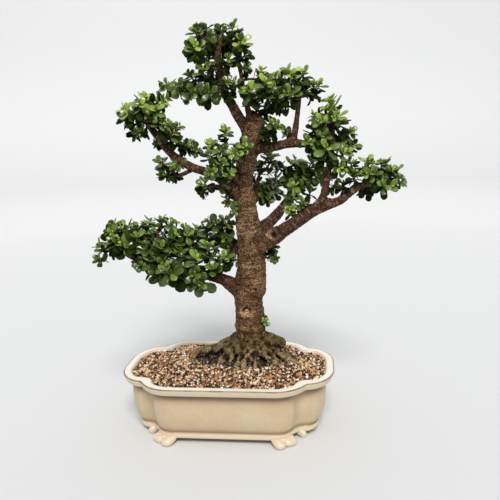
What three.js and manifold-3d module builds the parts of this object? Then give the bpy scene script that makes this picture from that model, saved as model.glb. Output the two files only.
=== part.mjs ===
// A bonsai tree with small round succulent leaves in a shallow lobed stoneware pot.
//
// Units are millimetres and +Z is up. The origin is on the table, straight below the
// foot of the trunk. +X is the tree's right-hand side and -Y is its front.

import * as THREE from 'three';
import { mergeVertices } from 'three/addons/utils/BufferGeometryUtils.js';
import Module from 'manifold-3d';

const wasm = await Module();
wasm.setup();

// ---------------------------------------------------------------- driving dimensions

const GAP = 0.3; // between pieces that touch

const POT_LENGTH = 308; // over the rim
const POT_DEPTH = 202; // over the rim
const POT_HEIGHT = 88;
const POT_CENTRE = new THREE.Vector2(-27.5, -25); // the tree stands right of and behind the middle
const FLOOR_BOTTOM = 10;
const FLOOR_TOP = 18;
const SOIL_EDGE = 84.5; // height of the soil at the wall
const SOIL_CROWN = 96; // height of the soil where it is heaped highest
const HEAP_CENTRE = new THREE.Vector2(11, 60); // the soil is heaped behind the trunk

const FOOT_HEIGHT = 12;
const FOOT_LOBES = [
  { x: 78.5, y: 84, radius: 9 },
  { x: 91, y: 75, radius: 7.5 },
  { x: 106, y: 51, radius: 6.5 },
];

const NOTCH = new THREE.Vector2(116, 72); // where two lobes of the outline meet
const GROOVE_DEPTH = 5; // of the upright grooves that run down the wall from the notches
const GROOVE_WIDTH = 13;
const DEEPEST_INSET = 21; // beyond this a ring is drawn in towards the pot's middle

const DRAIN_X = 72; // drain holes, either side of the pot's middle
const DRAIN_RADIUS = 11;
const WIRE_HOLE = new THREE.Vector2(34, 14);
const WIRE_HOLE_RADIUS = 2.5;

const SCREEN_SIZE = 30;
const SCREEN_THICKNESS = 1.2;
const SCREEN_PITCH = 4.5;
const SCREEN_OPENING = 3.2;
const CLIP_RADIUS = 0.9;
const TIE_RADIUS = 1;

const LEAF_SPREAD = 1.15; // how far the leaves of a shoot reach past its nominal radius
const TWIG_RADIUS = 2.5;

// ---------------------------------------------------------------- solids

// A closed three.js geometry as a solid that can be cut and joined.
function solid(geometry) {
  const bare = geometry.clone();
  bare.deleteAttribute('normal');
  bare.deleteAttribute('uv');
  const merged = mergeVertices(bare, 1e-3);
  const triangles = [];
  for (let i = 0; i < merged.index.count; i += 3) {
    const [a, b, c] = [0, 1, 2].map((k) => merged.index.getX(i + k));
    if (a !== b && b !== c && c !== a) {
      triangles.push(a, b, c);
    }
  }
  return new wasm.Manifold(new wasm.Mesh({
    numProp: 3,
    vertProperties: new Float32Array(merged.attributes.position.array),
    triVerts: new Uint32Array(triangles),
  }));
}

function union(solids) {
  return solids.reduce((whole, next) => whole.add(next));
}

// The largest of the separate bodies in a solid, with any hollow inside it filled.
function largest(whole) {
  return whole.decompose().reduce((a, b) => (b.volume() > a.volume() ? b : a));
}

function geometryOf(whole) {
  const mesh = whole.getMesh();
  const geometry = new THREE.BufferGeometry();
  geometry.setAttribute('position', new THREE.BufferAttribute(new Float32Array(mesh.vertProperties), 3));
  geometry.setIndex(new THREE.BufferAttribute(new Uint32Array(mesh.triVerts), 1));
  geometry.computeVertexNormals();
  return geometry;
}

const bonsai = new THREE.Group();

function addPiece(name, whole, color, roughness, metalness = 0) {
  const material = new THREE.MeshStandardMaterial({ color, roughness, metalness });
  const mesh = new THREE.Mesh(geometryOf(whole), material);
  mesh.name = name;
  bonsai.add(mesh);
}

// A cylinder bent to run through a list of points, with a radius and a ring of corners
// at each of them. grow makes it thicker and longer, for cutting room around it.
function limb(points, radii, sides = 10, grow = 0) {
  const path = points.map((p) => new THREE.Vector3(...p));
  const last = path.length - 1;
  path[0].addScaledVector(path[0].clone().sub(path[1]).normalize(), grow);
  path[last].addScaledVector(path[last].clone().sub(path[last - 1]).normalize(), grow);
  const curve = new THREE.CatmullRomCurve3(path);
  curve.getUtoTmapping = (u) => u;
  const frames = curve.computeFrenetFrames(last, false);
  const geometry = new THREE.CylinderGeometry(1, 1, 1, sides, last);
  const position = geometry.attributes.position;
  for (let i = 0; i < position.count; i += 1) {
    const point = Math.round((position.getY(i) + 0.5) * last);
    const radius = radii[point] + grow;
    const place = path[point].clone()
      .addScaledVector(frames.binormals[point], position.getX(i) * radius)
      .addScaledVector(frames.normals[point], position.getZ(i) * radius);
    position.setXYZ(i, place.x, place.y, place.z);
  }
  return solid(geometry);
}

function uprightCylinder(radius, bottom, top, x, y) {
  const geometry = new THREE.CylinderGeometry(radius, radius, top - bottom, 12);
  geometry.rotateX(Math.PI / 2);
  geometry.translate(x, y, (bottom + top) / 2);
  return solid(geometry);
}

// ---------------------------------------------------------------- the pot

// The rim's outline, from its right end round: a long lobe along the front and the
// back and a short one at each end, with a notch where two lobes meet.
function rimOutline() {
  const halfLength = POT_LENGTH / 2;
  const halfDepth = POT_DEPTH / 2;
  const quarter = new THREE.Path();
  quarter.moveTo(0, halfDepth);
  quarter.lineTo(70, halfDepth);
  quarter.bezierCurveTo(93, halfDepth, 108, 86, NOTCH.x, NOTCH.y);
  quarter.bezierCurveTo(132, 70, halfLength, 52, halfLength, 14);
  quarter.lineTo(halfLength, 0);
  const points = quarter.getPoints(5);
  const right = points.slice().reverse();
  const left = points.slice(1).map((p) => new THREE.Vector2(-p.x, p.y));
  const backHalf = [...right, ...left];
  const frontHalf = backHalf.slice(1, -1).map((p) => p.clone().negate());
  return [...backHalf, ...frontHalf];
}

const RIM = rimOutline();

function inwardNormal(i) {
  const before = RIM[(i + RIM.length - 1) % RIM.length];
  const after = RIM[(i + 1) % RIM.length];
  const along = after.clone().sub(before).normalize();
  return new THREE.Vector2(-along.y, along.x);
}

// How deep the groove below the nearest notch is at a corner of the outline.
function grooveAt(i) {
  const distance = NOTCH.distanceTo(new THREE.Vector2(Math.abs(RIM[i].x), Math.abs(RIM[i].y)));
  return GROOVE_DEPTH * Math.exp(-((distance / GROOVE_WIDTH) ** 2));
}

// The point of a ring at one corner of the outline, in a given distance from the rim.
// The grooves start below the lip and are shallower again near the foot of the wall.
function ringPoint(i, inset, height) {
  const belowLip = THREE.MathUtils.clamp((inset - 4) / 8, 0, 1);
  const share = belowLip * THREE.MathUtils.clamp((height - 8) / 20, 0.35, 1);
  const point = RIM[i].clone();
  point.addScaledVector(inwardNormal(i), Math.min(inset, DEEPEST_INSET) + grooveAt(i) * share);
  const deeper = Math.max(0, inset - DEEPEST_INSET) / (POT_DEPTH / 2 - DEEPEST_INSET);
  return point.multiplyScalar(1 - deeper);
}

// A solid whose every cross-section follows the rim. Each ring gives its height, how
// far it lies inside the rim, and how far it is drawn in towards a centre (0 to 1).
function lobedSolid(rings) {
  const profile = rings.map((ring) => new THREE.Vector2(1 - (ring.drawnIn ?? 0), ring.height));
  const geometry = new THREE.LatheGeometry(profile, RIM.length);
  const position = geometry.attributes.position;
  for (let i = 0; i < position.count; i += 1) {
    const corner = Math.floor(i / rings.length) % RIM.length;
    const { height, inset = 0, drawnIn = 0, centre = new THREE.Vector2() } = rings[i % rings.length];
    const place = ringPoint(corner, inset, height).lerp(centre, drawnIn);
    position.setXYZ(i, place.x + POT_CENTRE.x, place.y + POT_CENTRE.y, height);
  }
  return solid(geometry);
}

// One lobe of a cloud-shaped foot, with a flat sole.
function footLobe(lobe, sideX, sideY) {
  const profile = [[0, 0], [0.6, 0], [1, 0.4], [0.85, 0.85], [0, 1]];
  const points = profile.map(([r, z]) => new THREE.Vector2(r * lobe.radius, z * FOOT_HEIGHT));
  const geometry = new THREE.LatheGeometry(points, 10);
  geometry.rotateX(Math.PI / 2);
  geometry.translate(sideX * lobe.x + POT_CENTRE.x, sideY * lobe.y + POT_CENTRE.y, 0);
  return solid(geometry);
}

const SIDES = [[-1, -1], [1, -1], [-1, 1], [1, 1]];

function pot() {
  const body = lobedSolid([
    { height: FLOOR_BOTTOM, drawnIn: 1 },
    { height: FLOOR_BOTTOM, inset: 35 },
    { height: 7.6, inset: 29 },
    { height: 7.6, inset: 22.8 },
    { height: 8.8, inset: 21.4 },
    { height: 13.8, inset: 21.2 },
    { height: 16.4, inset: 23.5 },
    { height: 21, inset: 19.4 },
    { height: 29, inset: 15.8 },
    { height: 42, inset: 13 },
    { height: 76.6, inset: 12 },
    { height: 78, inset: 4.6 },
    { height: 79.6, inset: 3 },
    { height: 86.4, inset: 0.1 },
    { height: POT_HEIGHT, inset: 0.9 },
    { height: POT_HEIGHT, inset: 11.2 },
    { height: 78, inset: 17.5 },
    { height: 36, inset: 21.5 },
    { height: FLOOR_TOP, inset: 34 },
    { height: FLOOR_TOP, drawnIn: 1 },
  ]);
  const feet = FOOT_LOBES.flatMap((lobe) => SIDES.map(([x, y]) => footLobe(lobe, x, y)));
  const drains = [-1, 1].map((side) => uprightCylinder(
    DRAIN_RADIUS, 0, 30, side * DRAIN_X + POT_CENTRE.x, POT_CENTRE.y));
  const wireHoles = SIDES.map(([x, y]) => uprightCylinder(
    WIRE_HOLE_RADIUS, 0, 30, x * WIRE_HOLE.x + POT_CENTRE.x, y * WIRE_HOLE.y + POT_CENTRE.y));
  return union([body, ...feet]).subtract(union([...drains, ...wireHoles]));
}

// ---------------------------------------------------------------- drain screens and wires

const SCREEN_BOTTOM = FLOOR_TOP + GAP;
const SCREEN_TOP = SCREEN_BOTTOM + SCREEN_THICKNESS;

function slab(size, thickness, x, y, bottom) {
  const geometry = new THREE.BoxGeometry(size, size, thickness);
  geometry.translate(x, y, bottom + thickness / 2);
  return solid(geometry);
}

function drainScreen(side) {
  const x = side * DRAIN_X + POT_CENTRE.x;
  const y = POT_CENTRE.y;
  const openings = [];
  for (let column = -2; column <= 2; column += 1) {
    for (let row = -2; row <= 2; row += 1) {
      openings.push(slab(SCREEN_OPENING, 3 * SCREEN_THICKNESS,
        x + column * SCREEN_PITCH, y + row * SCREEN_PITCH, SCREEN_BOTTOM - SCREEN_THICKNESS));
    }
  }
  return slab(SCREEN_SIZE, SCREEN_THICKNESS, x, y, SCREEN_BOTTOM).subtract(union(openings));
}

// A wire staple: over the screen, down through the drain hole, and out under the floor.
function screenClip(side, grow = 0) {
  const x = side * DRAIN_X + POT_CENTRE.x;
  const leg = 2 * SCREEN_PITCH;
  const above = SCREEN_TOP + GAP + CLIP_RADIUS;
  const below = FLOOR_BOTTOM - GAP - CLIP_RADIUS;
  const bend = 1.2;
  const half = [
    [leg + 7, below], [leg + bend, below], [leg, below + bend], [leg, above - bend], [leg - bend, above],
  ];
  const across = [...half, ...half.map(([reach, z]) => [-reach, z]).reverse()];
  const points = across.map(([reach, z]) => [x + reach, POT_CENTRE.y, z]);
  return limb(points, points.map(() => CLIP_RADIUS), 6, grow);
}

// The wire that holds the root ball down: up through two holes in the floor, over a
// buried root, and its two ends crossed.
function tieWire(grow = 0) {
  const y = POT_CENTRE.y - WIRE_HOLE.y;
  const left = POT_CENTRE.x - WIRE_HOLE.x;
  const right = POT_CENTRE.x + WIRE_HOLE.x;
  const under = FLOOR_BOTTOM - GAP - TIE_RADIUS;
  const points = [
    [-28, y - 3, 70], [-36, y - 1, 66], [left + 4, y, 63], [left, y, 58], [left, y, 30], [left, y, under + 2],
    [left + 2, y, under], [right - 2, y, under],
    [right, y, under + 2], [right, y, 30], [right, y, 60], [right - 5, y, 66], [-12, y + 1, 68],
    [-22, y + 3, 71],
  ];
  return limb(points, points.map(() => TIE_RADIUS), 6, grow);
}

// ---------------------------------------------------------------- trunk, roots and branches

// Each limb is the points along its middle and a radius at each of them.
const TRUNK = {
  points: [
    [0, 0, 48], [1, 0, 72], [2, 0, 94], [3, -1, 132], [1, -2, 179], [5, -2, 203], [7, -2, 240], [6, 0, 269],
    [2, 2, 298], [-1, 3, 328], [-2, 2, 357], [3, 0, 381], [9, -2, 406], [16, -2, 427], [19, -2, 444],
  ],
  radii: [14, 22, 26, 22, 20.5, 22, 19.5, 18.5, 16.5, 15.5, 12.5, 13, 14.5, 15, 12],
};

const BRANCHES = [
  // low on the left, over the left end of the pot
  {
    points: [
      [-9, 0, 191], [-24, -8, 205], [-36, -14, 214], [-53, -20, 220], [-80, -28, 229],
      [-116, -32, 238], [-144, -34, 245], [-164, -34, 253], [-183, -34, 265],
    ],
    radii: [12, 9.5, 7.6, 6.4, 5.8, 5.2, 4.6, 3.8, 2.6],
  },
  {
    points: [
      [-126, -32, 241], [-134, -28, 256], [-142, -26, 271], [-152, -24, 284], [-170, -20, 286],
      [-189, -22, 285],
    ],
    radii: [4.2, 3.6, 3.2, 2.8, 2.4, 2],
  },
  {
    points: [
      [-134, -28, 256], [-129, -22, 268], [-128, -14, 283],
    ],
    radii: [3.2, 2.4, 2],
  },
  // low at the back
  {
    points: [
      [7, 6, 244], [-13, 26, 248], [-38, 48, 252], [-64, 72, 254], [-89, 96, 247],
    ],
    radii: [11, 7.5, 5.6, 4.4, 3],
  },
  {
    points: [
      [-38, 48, 252], [-42, 40, 275], [-41, 26, 293],
    ],
    radii: [3.6, 2.8, 2.2],
  },
  // the strong branch on the right, its pruned stubs and its rising fork
  {
    points: [
      [14, -6, 261], [38, -12, 274], [59, -16, 287.5], [79, -18, 300.5], [97, -20, 312.5],
      [116, -20, 320.5], [135, -20, 327], [149, -20, 338], [165, -20, 347], [181, -20, 350],
      [213, -16, 353],
    ],
    radii: [15, 11.8, 9.4, 8.4, 7.6, 6.6, 5.7, 4.8, 3.9, 3, 2.2],
  },
  {
    points: [
      [18, -6, 270], [36, -15, 275], [43, -19, 277],
    ],
    radii: [12, 11.5, 9],
  },
  {
    points: [
      [112, -24, 318], [119, -25, 325], [122, -26, 329],
    ],
    radii: [5.5, 5, 4.4],
  },
  {
    points: [
      [97, -20, 313], [110, -20, 329], [114, -22, 342], [117, -24, 359], [120, -26, 375],
      [123, -26, 397], [125, -22, 423], [126, -20, 453],
    ],
    radii: [6.6, 5.2, 4.7, 4.3, 4, 3.6, 3, 2.2],
  },
  // two behind it
  {
    points: [
      [12, 6, 277], [36, 22, 295], [54, 30, 315], [63, 34, 328], [66, 38, 345], [64, 40, 367],
    ],
    radii: [11, 7.8, 6.3, 5.5, 4.7, 3.6],
  },
  {
    points: [
      [2, 8, 322], [10, 34, 328], [20, 60, 333], [30, 84, 335], [36, 104, 335],
    ],
    radii: [10, 7, 5.4, 4.2, 3],
  },
  {
    points: [
      [12, 38, 329], [14, 42, 344], [17, 42, 360],
    ],
    radii: [2.8, 2.5, 2.2],
  },
  // high on the left
  {
    points: [
      [-7, 0, 334], [-21, -6, 350], [-37, -12, 363], [-53, -18, 370.5], [-70, -22, 377],
      [-87, -24, 387], [-104, -26, 402], [-115, -26, 418], [-126, -26, 433], [-135, -24, 446],
      [-141, -24, 458],
    ],
    radii: [12, 8.8, 6.8, 5.8, 5.5, 5.3, 5, 4.6, 4.1, 3.3, 2.4],
  },
  {
    points: [
      [-66, -22, 377], [-81, -18, 370], [-95, -16, 366], [-104, -18, 375], [-112, -20, 380],
    ],
    radii: [3.4, 2.6, 2.5, 2.2, 1.9],
  },
  // short ones at the front
  {
    points: [
      [-6, -4, 354], [-15, -22, 367], [-26, -38, 376], [-36, -46, 385],
    ],
    radii: [6, 4.4, 3.6, 2.6],
  },
  {
    points: [
      [-16, 0, 334], [-28, -18, 346], [-40, -28, 350], [-52, -32, 349],
    ],
    radii: [6, 4.2, 3.2, 2.2],
  },
  {
    points: [
      [-20, -22, 380], [-23, -16, 400], [-24, -14, 420],
    ],
    radii: [2.7, 2.2, 1.9],
  },
  // high on the right
  {
    points: [
      [9, 0, 402], [27, -6, 402], [46, -10, 403.5], [66, -14, 407], [85, -18, 406], [101, -22, 403],
    ],
    radii: [13, 7.4, 6.3, 5.7, 4.7, 3.4],
  },
  {
    points: [
      [71, -14, 410], [74, -14, 425], [77, -14, 445], [80, -12, 469], [79, -12, 486],
    ],
    radii: [4.4, 3.6, 3.1, 2.7, 2],
  },
  // the two that make the top of the tree
  {
    points: [
      [9, -2, 424], [-5, 0, 444], [-16, 2, 464], [-25, 4, 478], [-29, 4, 494], [-31, 2, 513],
      [-33, 0, 526], [-30, 0, 541], [-26, 0, 555],
    ],
    radii: [10, 6.9, 6.1, 5.7, 5.1, 5, 4.6, 3.4, 2.5],
  },
  {
    points: [
      [12, 0, 436], [5, -2, 468], [2, -4, 488], [0, -4, 502], [-3, -4, 519], [-3, -6, 540],
      [-2, -8, 553],
    ],
    radii: [4.6, 3.1, 2.5, 2.3, 2.3, 2.3, 2],
  },
];

const ROOTS = [
  // left, held over a hollow by two that grow down from it
  {
    points: [
      [-8, -5, 118], [-25, -12, 112.5], [-41, -16, 109.5], [-59, -20, 107], [-75, -23, 103],
      [-83, -25, 93], [-86, -27, 80],
    ],
    radii: [12, 9, 7.5, 6, 5, 4.5, 3.5],
  },
  {
    points: [
      [-56, -21, 107], [-60, -23, 98], [-62, -24, 86], [-64, -24, 74],
    ],
    radii: [4, 3, 2.6, 2.4],
  },
  {
    points: [
      [-10, 6, 119], [-26, 16, 109], [-44, 26, 100], [-60, 33, 88], [-66, 35, 76],
    ],
    radii: [11, 8, 6, 4.5, 3],
  },
  // front, the middle two crossing
  {
    points: [
      [-14, -12, 114], [-28, -22, 106], [-37, -28, 96], [-44, -33, 85], [-49, -36, 74],
    ],
    radii: [10, 7, 5.5, 4.5, 3],
  },
  {
    points: [
      [-19, -15, 118], [-10, -26, 108], [0, -34, 99], [9, -41, 89], [15, -45, 78],
    ],
    radii: [8, 6, 5, 4.2, 3],
  },
  {
    points: [
      [18, -14, 118], [11, -25, 109], [-1, -34, 101], [-13, -40, 92], [-21, -45, 80],
    ],
    radii: [9, 6.5, 5.5, 4.2, 3],
  },
  {
    points: [
      [12, -12, 118], [26, -21, 107], [36, -27, 97], [47, -34, 87], [54, -38, 75],
    ],
    radii: [10, 7, 6, 5, 3.5],
  },
  // right, a cut-back stub over a thinner one
  {
    points: [
      [8, -2, 120], [28, -6, 116.5], [42, -10, 113.5], [50, -13, 111],
    ],
    radii: [14, 12, 11, 9],
  },
  {
    points: [
      [22, -8, 112], [42, -14, 105], [55, -17, 97], [66, -20, 88], [72, -22, 76],
    ],
    radii: [10, 8, 6, 4.5, 3.5],
  },
  // back
  {
    points: [
      [2, 10, 118], [4, 26, 107], [7, 38, 95], [9, 45, 80],
    ],
    radii: [12, 9, 6, 4],
  },
  {
    points: [
      [12, 10, 117], [27, 22, 107], [40, 31, 96], [50, 37, 80],
    ],
    radii: [10, 7.5, 5.5, 4],
  },
  // buried
  {
    points: [
      [0, -6, 60], [-8, -34, 53], [-14, -56, 45],
    ],
    radii: [12, 6, 3],
  },
  {
    points: [
      [0, 4, 58], [-30, 14, 48], [-62, 16, 40],
    ],
    radii: [12, 7, 3],
  },
  {
    points: [
      [0, 0, 58], [30, -8, 48], [58, -20, 42],
    ],
    radii: [12, 7, 3],
  },
];

function sidesFor(radius) {
  if (radius > 15) {
    return 12;
  }
  return radius > 6 ? 7 : 5;
}

function wood(grow = 0) {
  const limbs = [TRUNK, ...BRANCHES, ...ROOTS];
  return union(limbs.map(({ points, radii }) => limb(points, radii, sidesFor(Math.max(...radii)), grow)));
}

// ---------------------------------------------------------------- soil

function soil(roomForRoots) {
  const heap = (height, drawnIn) => ({ height, inset: 19, drawnIn, centre: HEAP_CENTRE });
  const fill = lobedSolid([
    { height: FLOOR_TOP + GAP, drawnIn: 1 },
    { height: FLOOR_TOP + GAP, inset: 34.5 },
    { height: 36, inset: 22.2 },
    { height: 78, inset: 18.3 },
    { height: SOIL_EDGE, inset: 15.3 },
    heap(SOIL_EDGE + 1.5, 0.03),
    heap(SOIL_CROWN - 7, 0.42),
    heap(SOIL_CROWN - 2.5, 0.72),
    heap(SOIL_CROWN, 1),
  ]);
  const screenRoom = [-1, 1].map((side) => slab(SCREEN_SIZE + 2 * GAP, SCREEN_THICKNESS + 2 * GAP,
    side * DRAIN_X + POT_CENTRE.x, POT_CENTRE.y, FLOOR_TOP));
  const clipRoom = [-1, 1].map((side) => screenClip(side, GAP));
  return largest(fill.subtract(union([roomForRoots, tieWire(GAP), ...screenRoom, ...clipRoom])));
}

// ---------------------------------------------------------------- foliage

// Each mass of foliage is the shoots at the end of one branch. A shoot is the place
// of the middle of its leaves, and how far they reach round it.
const FOLIAGE = {
  foliage_lower_left_tip: [
    [-195, -26, 286, 13], [-203, -34, 265, 10], [-213, -34, 247, 6], [-176, -14, 287, 15],
    [-174, -42, 270, 14], [-156, -40, 269, 16], [-145, -6, 290, 13], [-150, -42, 243, 8],
    [-157, -24, 293, 10], [-189, -24, 296, 8], [-180, -38, 276, 11], [-194, -32, 270, 9],
  ],
  foliage_lower_left_middle: [
    [-125, -4, 299, 12], [-131, -14, 280, 13], [-106, -32, 274, 14], [-89, -18, 279, 13],
    [-74, -4, 280, 12], [-131, -44, 246, 13], [-113, -46, 247, 14], [-122, -52, 230, 11],
    [-101, -58, 232, 15], [-94, -38, 255, 13], [-84, -36, 217, 11], [-109, -14, 297, 8],
    [-118, -42, 262, 11], [-88, -14, 290, 7], [-140, -40, 262, 11],
  ],
  foliage_lower_left_inner: [
    [-71, -50, 230, 13], [-60, -48, 216, 13], [-69, -36, 247, 13], [-45, -42, 234, 11],
    [-50, -30, 263, 11], [-28, -22, 247, 10], [-46, -32, 250, 10], [-36, -28, 237, 9],
    [-26, -16, 243, 7],
  ],
  foliage_lower_back_left: [
    [-50, 16, 290, 12], [-33, 22, 293, 13], [-33, 30, 269, 12], [-28, 34, 251, 11], [-68, 44, 269, 12],
    [-96, 52, 252, 14], [-113, 72, 246, 14], [-96, 92, 235, 14], [-68, 104, 246, 14],
    [-46, 90, 266, 14], [-76, 70, 269, 14],
  ],
  foliage_upper_left_tip: [
    [-136, -18, 474, 11], [-115, -10, 471, 12], [-154, -30, 452, 14], [-136, -34, 462, 12],
    [-164, -22, 448, 8], [-140, -20, 444, 11], [-117, -34, 455, 12], [-115, -30, 440, 11],
    [-156, -10, 428, 8], [-136, 10, 465, 12], [-152, 12, 457, 12], [-112, -24, 427, 9],
    [-144, -22, 431, 8], [-111, -12, 468, 9],
  ],
  foliage_upper_left_inner: [
    [-95, -38, 422, 12], [-88, -36, 431, 8], [-83, 0, 407, 10], [-73, 4, 402, 10], [-121, -14, 410, 6],
    [-94, -18, 419, 8], [-97, -36, 434, 8],
  ],
  foliage_upper_left_under: [
    [-113, -22, 385, 11], [-109, -24, 369, 10], [-92, -26, 384, 10], [-97, -14, 363, 6],
  ],
  foliage_centre_front: [
    [-42, -50, 393, 11], [-26, -50, 384, 12], [-36, -56, 375, 11], [-20, -48, 367, 11],
    [-40, -34, 408, 8], [-8, -42, 396, 10], [4, -38, 405, 10], [-14, -22, 381, 9],
  ],
  foliage_centre_sprig: [[-23, -14, 423, 9], [-25, -14, 411, 7], [-27, -26, 401, 8]],
  foliage_centre_lower: [
    [-52, -34, 355, 10], [-54, -32, 343, 6], [-29, -26, 350, 10], [-22, -14, 327, 8],
    [-14, -16, 315, 6],
  ],
  foliage_apex: [
    [-59, -12, 556, 11], [-60, -20, 538, 13], [-66, -8, 530, 8], [-47, -2, 562, 12],
    [-42, 10, 548, 14], [-27, 2, 563, 11], [-9, -12, 559, 11], [6, -14, 544, 11], [-13, 6, 549, 13],
    [4, -8, 526, 11], [-18, -12, 519, 11], [-55, 8, 526, 11], [-28, 34, 550, 13], [-50, 38, 560, 13],
    [-4, 28, 545, 11], [5, -8, 510, 8],
  ],
  foliage_apex_left: [
    [-105, -6, 492, 8], [-88, -12, 487, 11], [-70, -2, 501, 10], [-52, -8, 502, 14],
    [-66, -26, 480, 14], [-46, -16, 477, 14], [-42, 10, 495, 11], [-43, -4, 512, 9],
  ],
  foliage_apex_inner: [[-18, -22, 488, 10], [-16, -18, 476, 8], [-8, -12, 490, 8]],
  foliage_upper_right: [
    [17, -30, 475, 12], [35, -36, 486, 11], [29, -8, 499, 10], [47, -4, 496, 11], [65, -8, 499, 12],
    [86, -16, 495, 11], [88, -16, 480, 11], [104, -18, 483, 8], [102, -12, 471, 7], [16, 8, 463, 13],
    [35, -22, 469, 12], [52, -26, 470, 12], [68, -24, 471, 12], [56, -6, 459, 10], [31, 2, 451, 10],
    [37, 28, 483, 13], [64, 34, 488, 13], [47, 44, 472, 13],
  ],
  foliage_upper_right_inner: [
    [40, -26, 434, 10], [47, -22, 428, 12], [35, -18, 418, 9], [64, -4, 421, 8],
  ],
  foliage_right_tower: [
    [124, -16, 463, 11], [121, -22, 450, 11], [132, -28, 441, 11], [105, -8, 442, 8],
    [111, -26, 432, 12], [135, -20, 430, 11], [148, -10, 419, 8], [99, -18, 424, 10],
    [110, -36, 413, 11], [92, -34, 409, 7], [134, -10, 414, 11], [116, -44, 399, 13],
    [100, -26, 400, 8], [138, -32, 391, 11], [154, 0, 402, 7], [134, -34, 374, 9], [124, 14, 432, 11],
    [117, 18, 413, 11], [113, -40, 386, 9],
  ],
  foliage_right_tip: [
    [151, -14, 374, 10], [154, -26, 359, 12], [140, -16, 348, 10], [173, -18, 374, 11],
    [178, -32, 363, 11], [196, -12, 375, 10], [198, -22, 364, 11], [193, -36, 348, 11],
    [209, -18, 363, 10], [219, -14, 349, 7], [170, -14, 340, 9], [128, -8, 345, 7], [172, 8, 364, 11],
    [198, 12, 366, 10],
  ],
  foliage_back_right: [
    [35, 46, 383, 12], [47, 44, 371, 13], [65, 36, 373, 13], [80, 22, 369, 13], [95, 16, 378, 13],
    [65, 30, 356, 12], [86, 14, 360, 13], [105, 8, 360, 13], [76, 8, 343, 13], [93, 4, 335, 11],
    [69, -4, 329, 10], [83, -2, 322, 10], [82, 52, 350, 14], [66, -14, 314, 9],
  ],
  foliage_back_centre: [
    [20, 48, 339, 12], [36, 50, 335, 12], [27, 42, 328, 11], [18, 40, 374, 11], [30, 44, 387, 9],
    [10, 44, 350, 10],
  ],
  foliage_rear: [
    [32, 84, 340, 12], [20, 92, 331, 12], [40, 104, 337, 13], [24, 112, 332, 12], [34, 116, 326, 11],
    [30, 66, 345, 11],
  ],
  foliage_trunk_right: [[39, 4, 256, 8], [40, -2, 243, 7], [32, 14, 249, 9]],
  basal_sprout: [[25, -13, 148, 6]],
};

function leafMass([x, y, z, reach], grow) {
  const geometry = new THREE.IcosahedronGeometry(reach * LEAF_SPREAD + grow);
  geometry.translate(x, y, z);
  return solid(geometry);
}

// The leaves of every shoot, with a twig between neighbours whose leaves hardly meet.
function foliageMass(shoots, grow = 0) {
  const place = (shoot) => new THREE.Vector3(shoot[0], shoot[1], shoot[2]);
  const distance = (a, b) => place(a).distanceTo(place(b));
  const parts = shoots.map((shoot) => leafMass(shoot, grow));
  for (let i = 1; i < shoots.length; i += 1) {
    const nearest = shoots.slice(0, i).reduce(
      (a, b) => (distance(b, shoots[i]) < distance(a, shoots[i]) ? b : a));
    if (distance(nearest, shoots[i]) > 0.75 * (nearest[3] + shoots[i][3])) {
      parts.push(limb([shoots[i].slice(0, 3), nearest.slice(0, 3)], [TWIG_RADIUS, TWIG_RADIUS], 4, grow));
    }
  }
  return union(parts);
}

// ---------------------------------------------------------------- the whole tree

const STONEWARE = 0xd8c8a6;
const BLACK_PLASTIC = 0x1c1d1c;
const BARE_WIRE = 0x9b9c9e;
const GRIT = 0xb08d6c;
const BARK = 0x6a5139;
const LEAF = 0x4c6c2c;
const YOUNG_LEAF = 0x7f9c3a;

addPiece('pot', pot(), STONEWARE, 0.35);
for (const [name, side] of [['left', -1], ['right', 1]]) {
  addPiece(`drain_screen_${name}`, drainScreen(side), BLACK_PLASTIC, 0.6);
  addPiece(`screen_clip_${name}`, screenClip(side), BARE_WIRE, 0.35, 1);
}
addPiece('tie_wire', tieWire(), BARE_WIRE, 0.35, 1);

const roomForWood = wood(GAP);
addPiece('soil', soil(roomForWood), GRIT, 0.95);
addPiece('trunk_and_branches', largest(wood()), BARK, 0.9);

let taken = roomForWood;
for (const [name, shoots] of Object.entries(FOLIAGE)) {
  const colour = name === 'basal_sprout' ? YOUNG_LEAF : LEAF;
  addPiece(name, largest(foliageMass(shoots).subtract(taken)), colour, 0.45);
  taken = taken.add(foliageMass(shoots, GAP));
}

export default bonsai;
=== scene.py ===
import math

import bmesh
import bpy
import numpy as np
from mathutils import Matrix, Vector


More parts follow.
